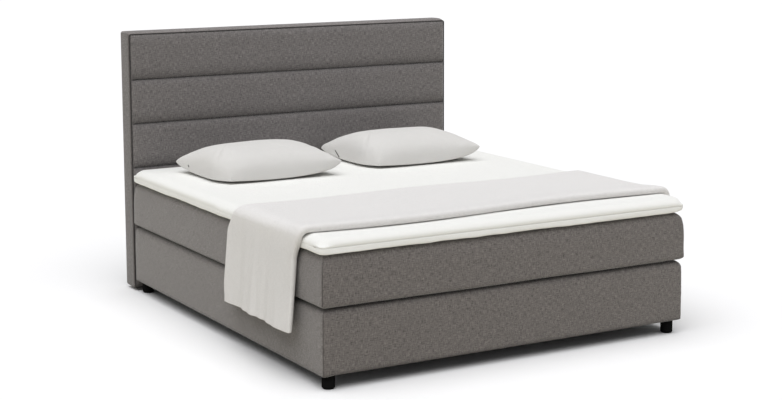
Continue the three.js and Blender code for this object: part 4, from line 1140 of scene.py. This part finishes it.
def pillow_form(bm, low, high, seed):
    """Shapes a flat double grid into a filled pillow that lies on the topper."""
    middle_x, middle_y = (low[0] + high[0]) / 2, (low[1] + high[1]) / 2
    length, depth, height = high[0] - low[0], high[1] - low[1], high[2] - low[2]
    for vert in bm.verts:
        u, v, side = vert.co
        u, v = math.sin(u * math.pi / 2), math.sin(v * math.pi / 2)
        open_u, open_v = max(0, 1 - u * u), max(0, 1 - v * v)
        tucked = corner_tuck * smooth(-u) * smooth(-v)
        x = u * math.sqrt(1 - tucked * v * v) * (length / 2 - end_draw * open_v)
        y = v * math.sqrt(1 - 0.5 * tucked * u * u) * (depth / 2 - side_draw * open_u)
        tip = sum(rise * abs(1 - right - (1 + u) / 2) * abs(1 - back - (1 + v) / 2)
                  for (right, back), rise in corner_heights.items())
        seam = seam_height + (tip - seam_height) * u * u * v * v
        full = ((1 - abs(u) ** 4.5) * max(0, 1 - abs(v) ** 2.1)) ** 0.35
        pucker = uneven(x * 30, y * 30, seed * 7) * min(1, full * 3) * max(0, 1 - full) ** 1.2
        dents = uneven(x * 5.5, y * 5.5, seed * 3.3) + 0.4 * uneven(x * 14, y * 14, seed * 5.1)
        folds = sum(weight * crease(x, y, *line) for weight, *line in creases)
        if side > 0:
            z = seam + (height - 0.003 - seam) * full * (1 - 0.03 * v) / 1.012
            z += (dent_depth * dents - fold_depth * folds) * full + pucker_depth * pucker
        elif side < 0:
            z = seam * (1 - (open_u * open_v) ** 0.3)
        else:
            z = seam
        vert.co = (middle_x + x, middle_y + y, low[2] + min(height, max(0, z)))


for name, seed in (("pillow_left", 1), ("pillow_right", 2)):
    low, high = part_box(name)
    bm = bmesh.new()
    bmesh.ops.create_grid(bm, x_segments=110, y_segments=80, size=1)
    lay_flat(bm, lambda vert: (vert.co.x * 0.35 + seed, vert.co.y * 0.25))
    under = bmesh.ops.duplicate(bm, geom=bm.verts[:] + bm.edges[:] + bm.faces[:])["geom"]
    under_side = set(only(bmesh.types.BMVert, under))
    for vert in bm.verts:
        on_rim = max(abs(vert.co.x), abs(vert.co.y)) > 1 - 1e-6
        vert.co.z = 0 if on_rim else (-1 if vert in under_side else 1)
    bmesh.ops.remove_doubles(bm, verts=bm.verts, dist=1e-5)
    pillow_form(bm, low, high, seed)
    near = Vector((low[0] + 0.04, low[1] + 0.03, low[2]))
    bmesh.ops.smooth_vert(bm, verts=[vert for vert in bm.verts if (vert.co - near).length < 0.11], factor=0.5,
                          use_axis_x=True, use_axis_y=True, use_axis_z=True)
    bmesh.ops.recalc_face_normals(bm, faces=bm.faces)
    pillow = hand_in(bm, "stuffed_" + name, pillow_finish, name, "pillow_cloth", name)

# Painted shadow as well as a pull: the right pull is a long dark tab laid along the dark line of the zip's
# shaded gap.
pull_width, pull_depth, pull_rounding = 0.0020, 0.0030, 0.0006
for side, top, foot in (("left", Vector((-0.7306, 0.7135, 0.6600)), Vector((-0.7296, 0.7055, 0.6500))),
                        ("right", Vector((0.0908, 0.7513, 0.6640)), Vector((0.0926, 0.7120, 0.6320)))):
    bm = bmesh.new()
    bmesh.ops.create_cube(bm, size=1)
    bmesh.ops.scale(bm, verts=bm.verts, vec=(pull_width, pull_depth, (top - foot).length))
    soften(bm, bm.edges[:], pull_rounding, 2)
    turn = (top - foot).to_track_quat("Z", "X").to_matrix()
    bmesh.ops.rotate(bm, verts=bm.verts, cent=(0, 0, 0), matrix=turn)
    bmesh.ops.translate(bm, verts=bm.verts, vec=(top + foot) / 2)
    hand_in(bm, "zip_pull_" + side, leg_finish, "pillow_" + side, "leg_plastic")
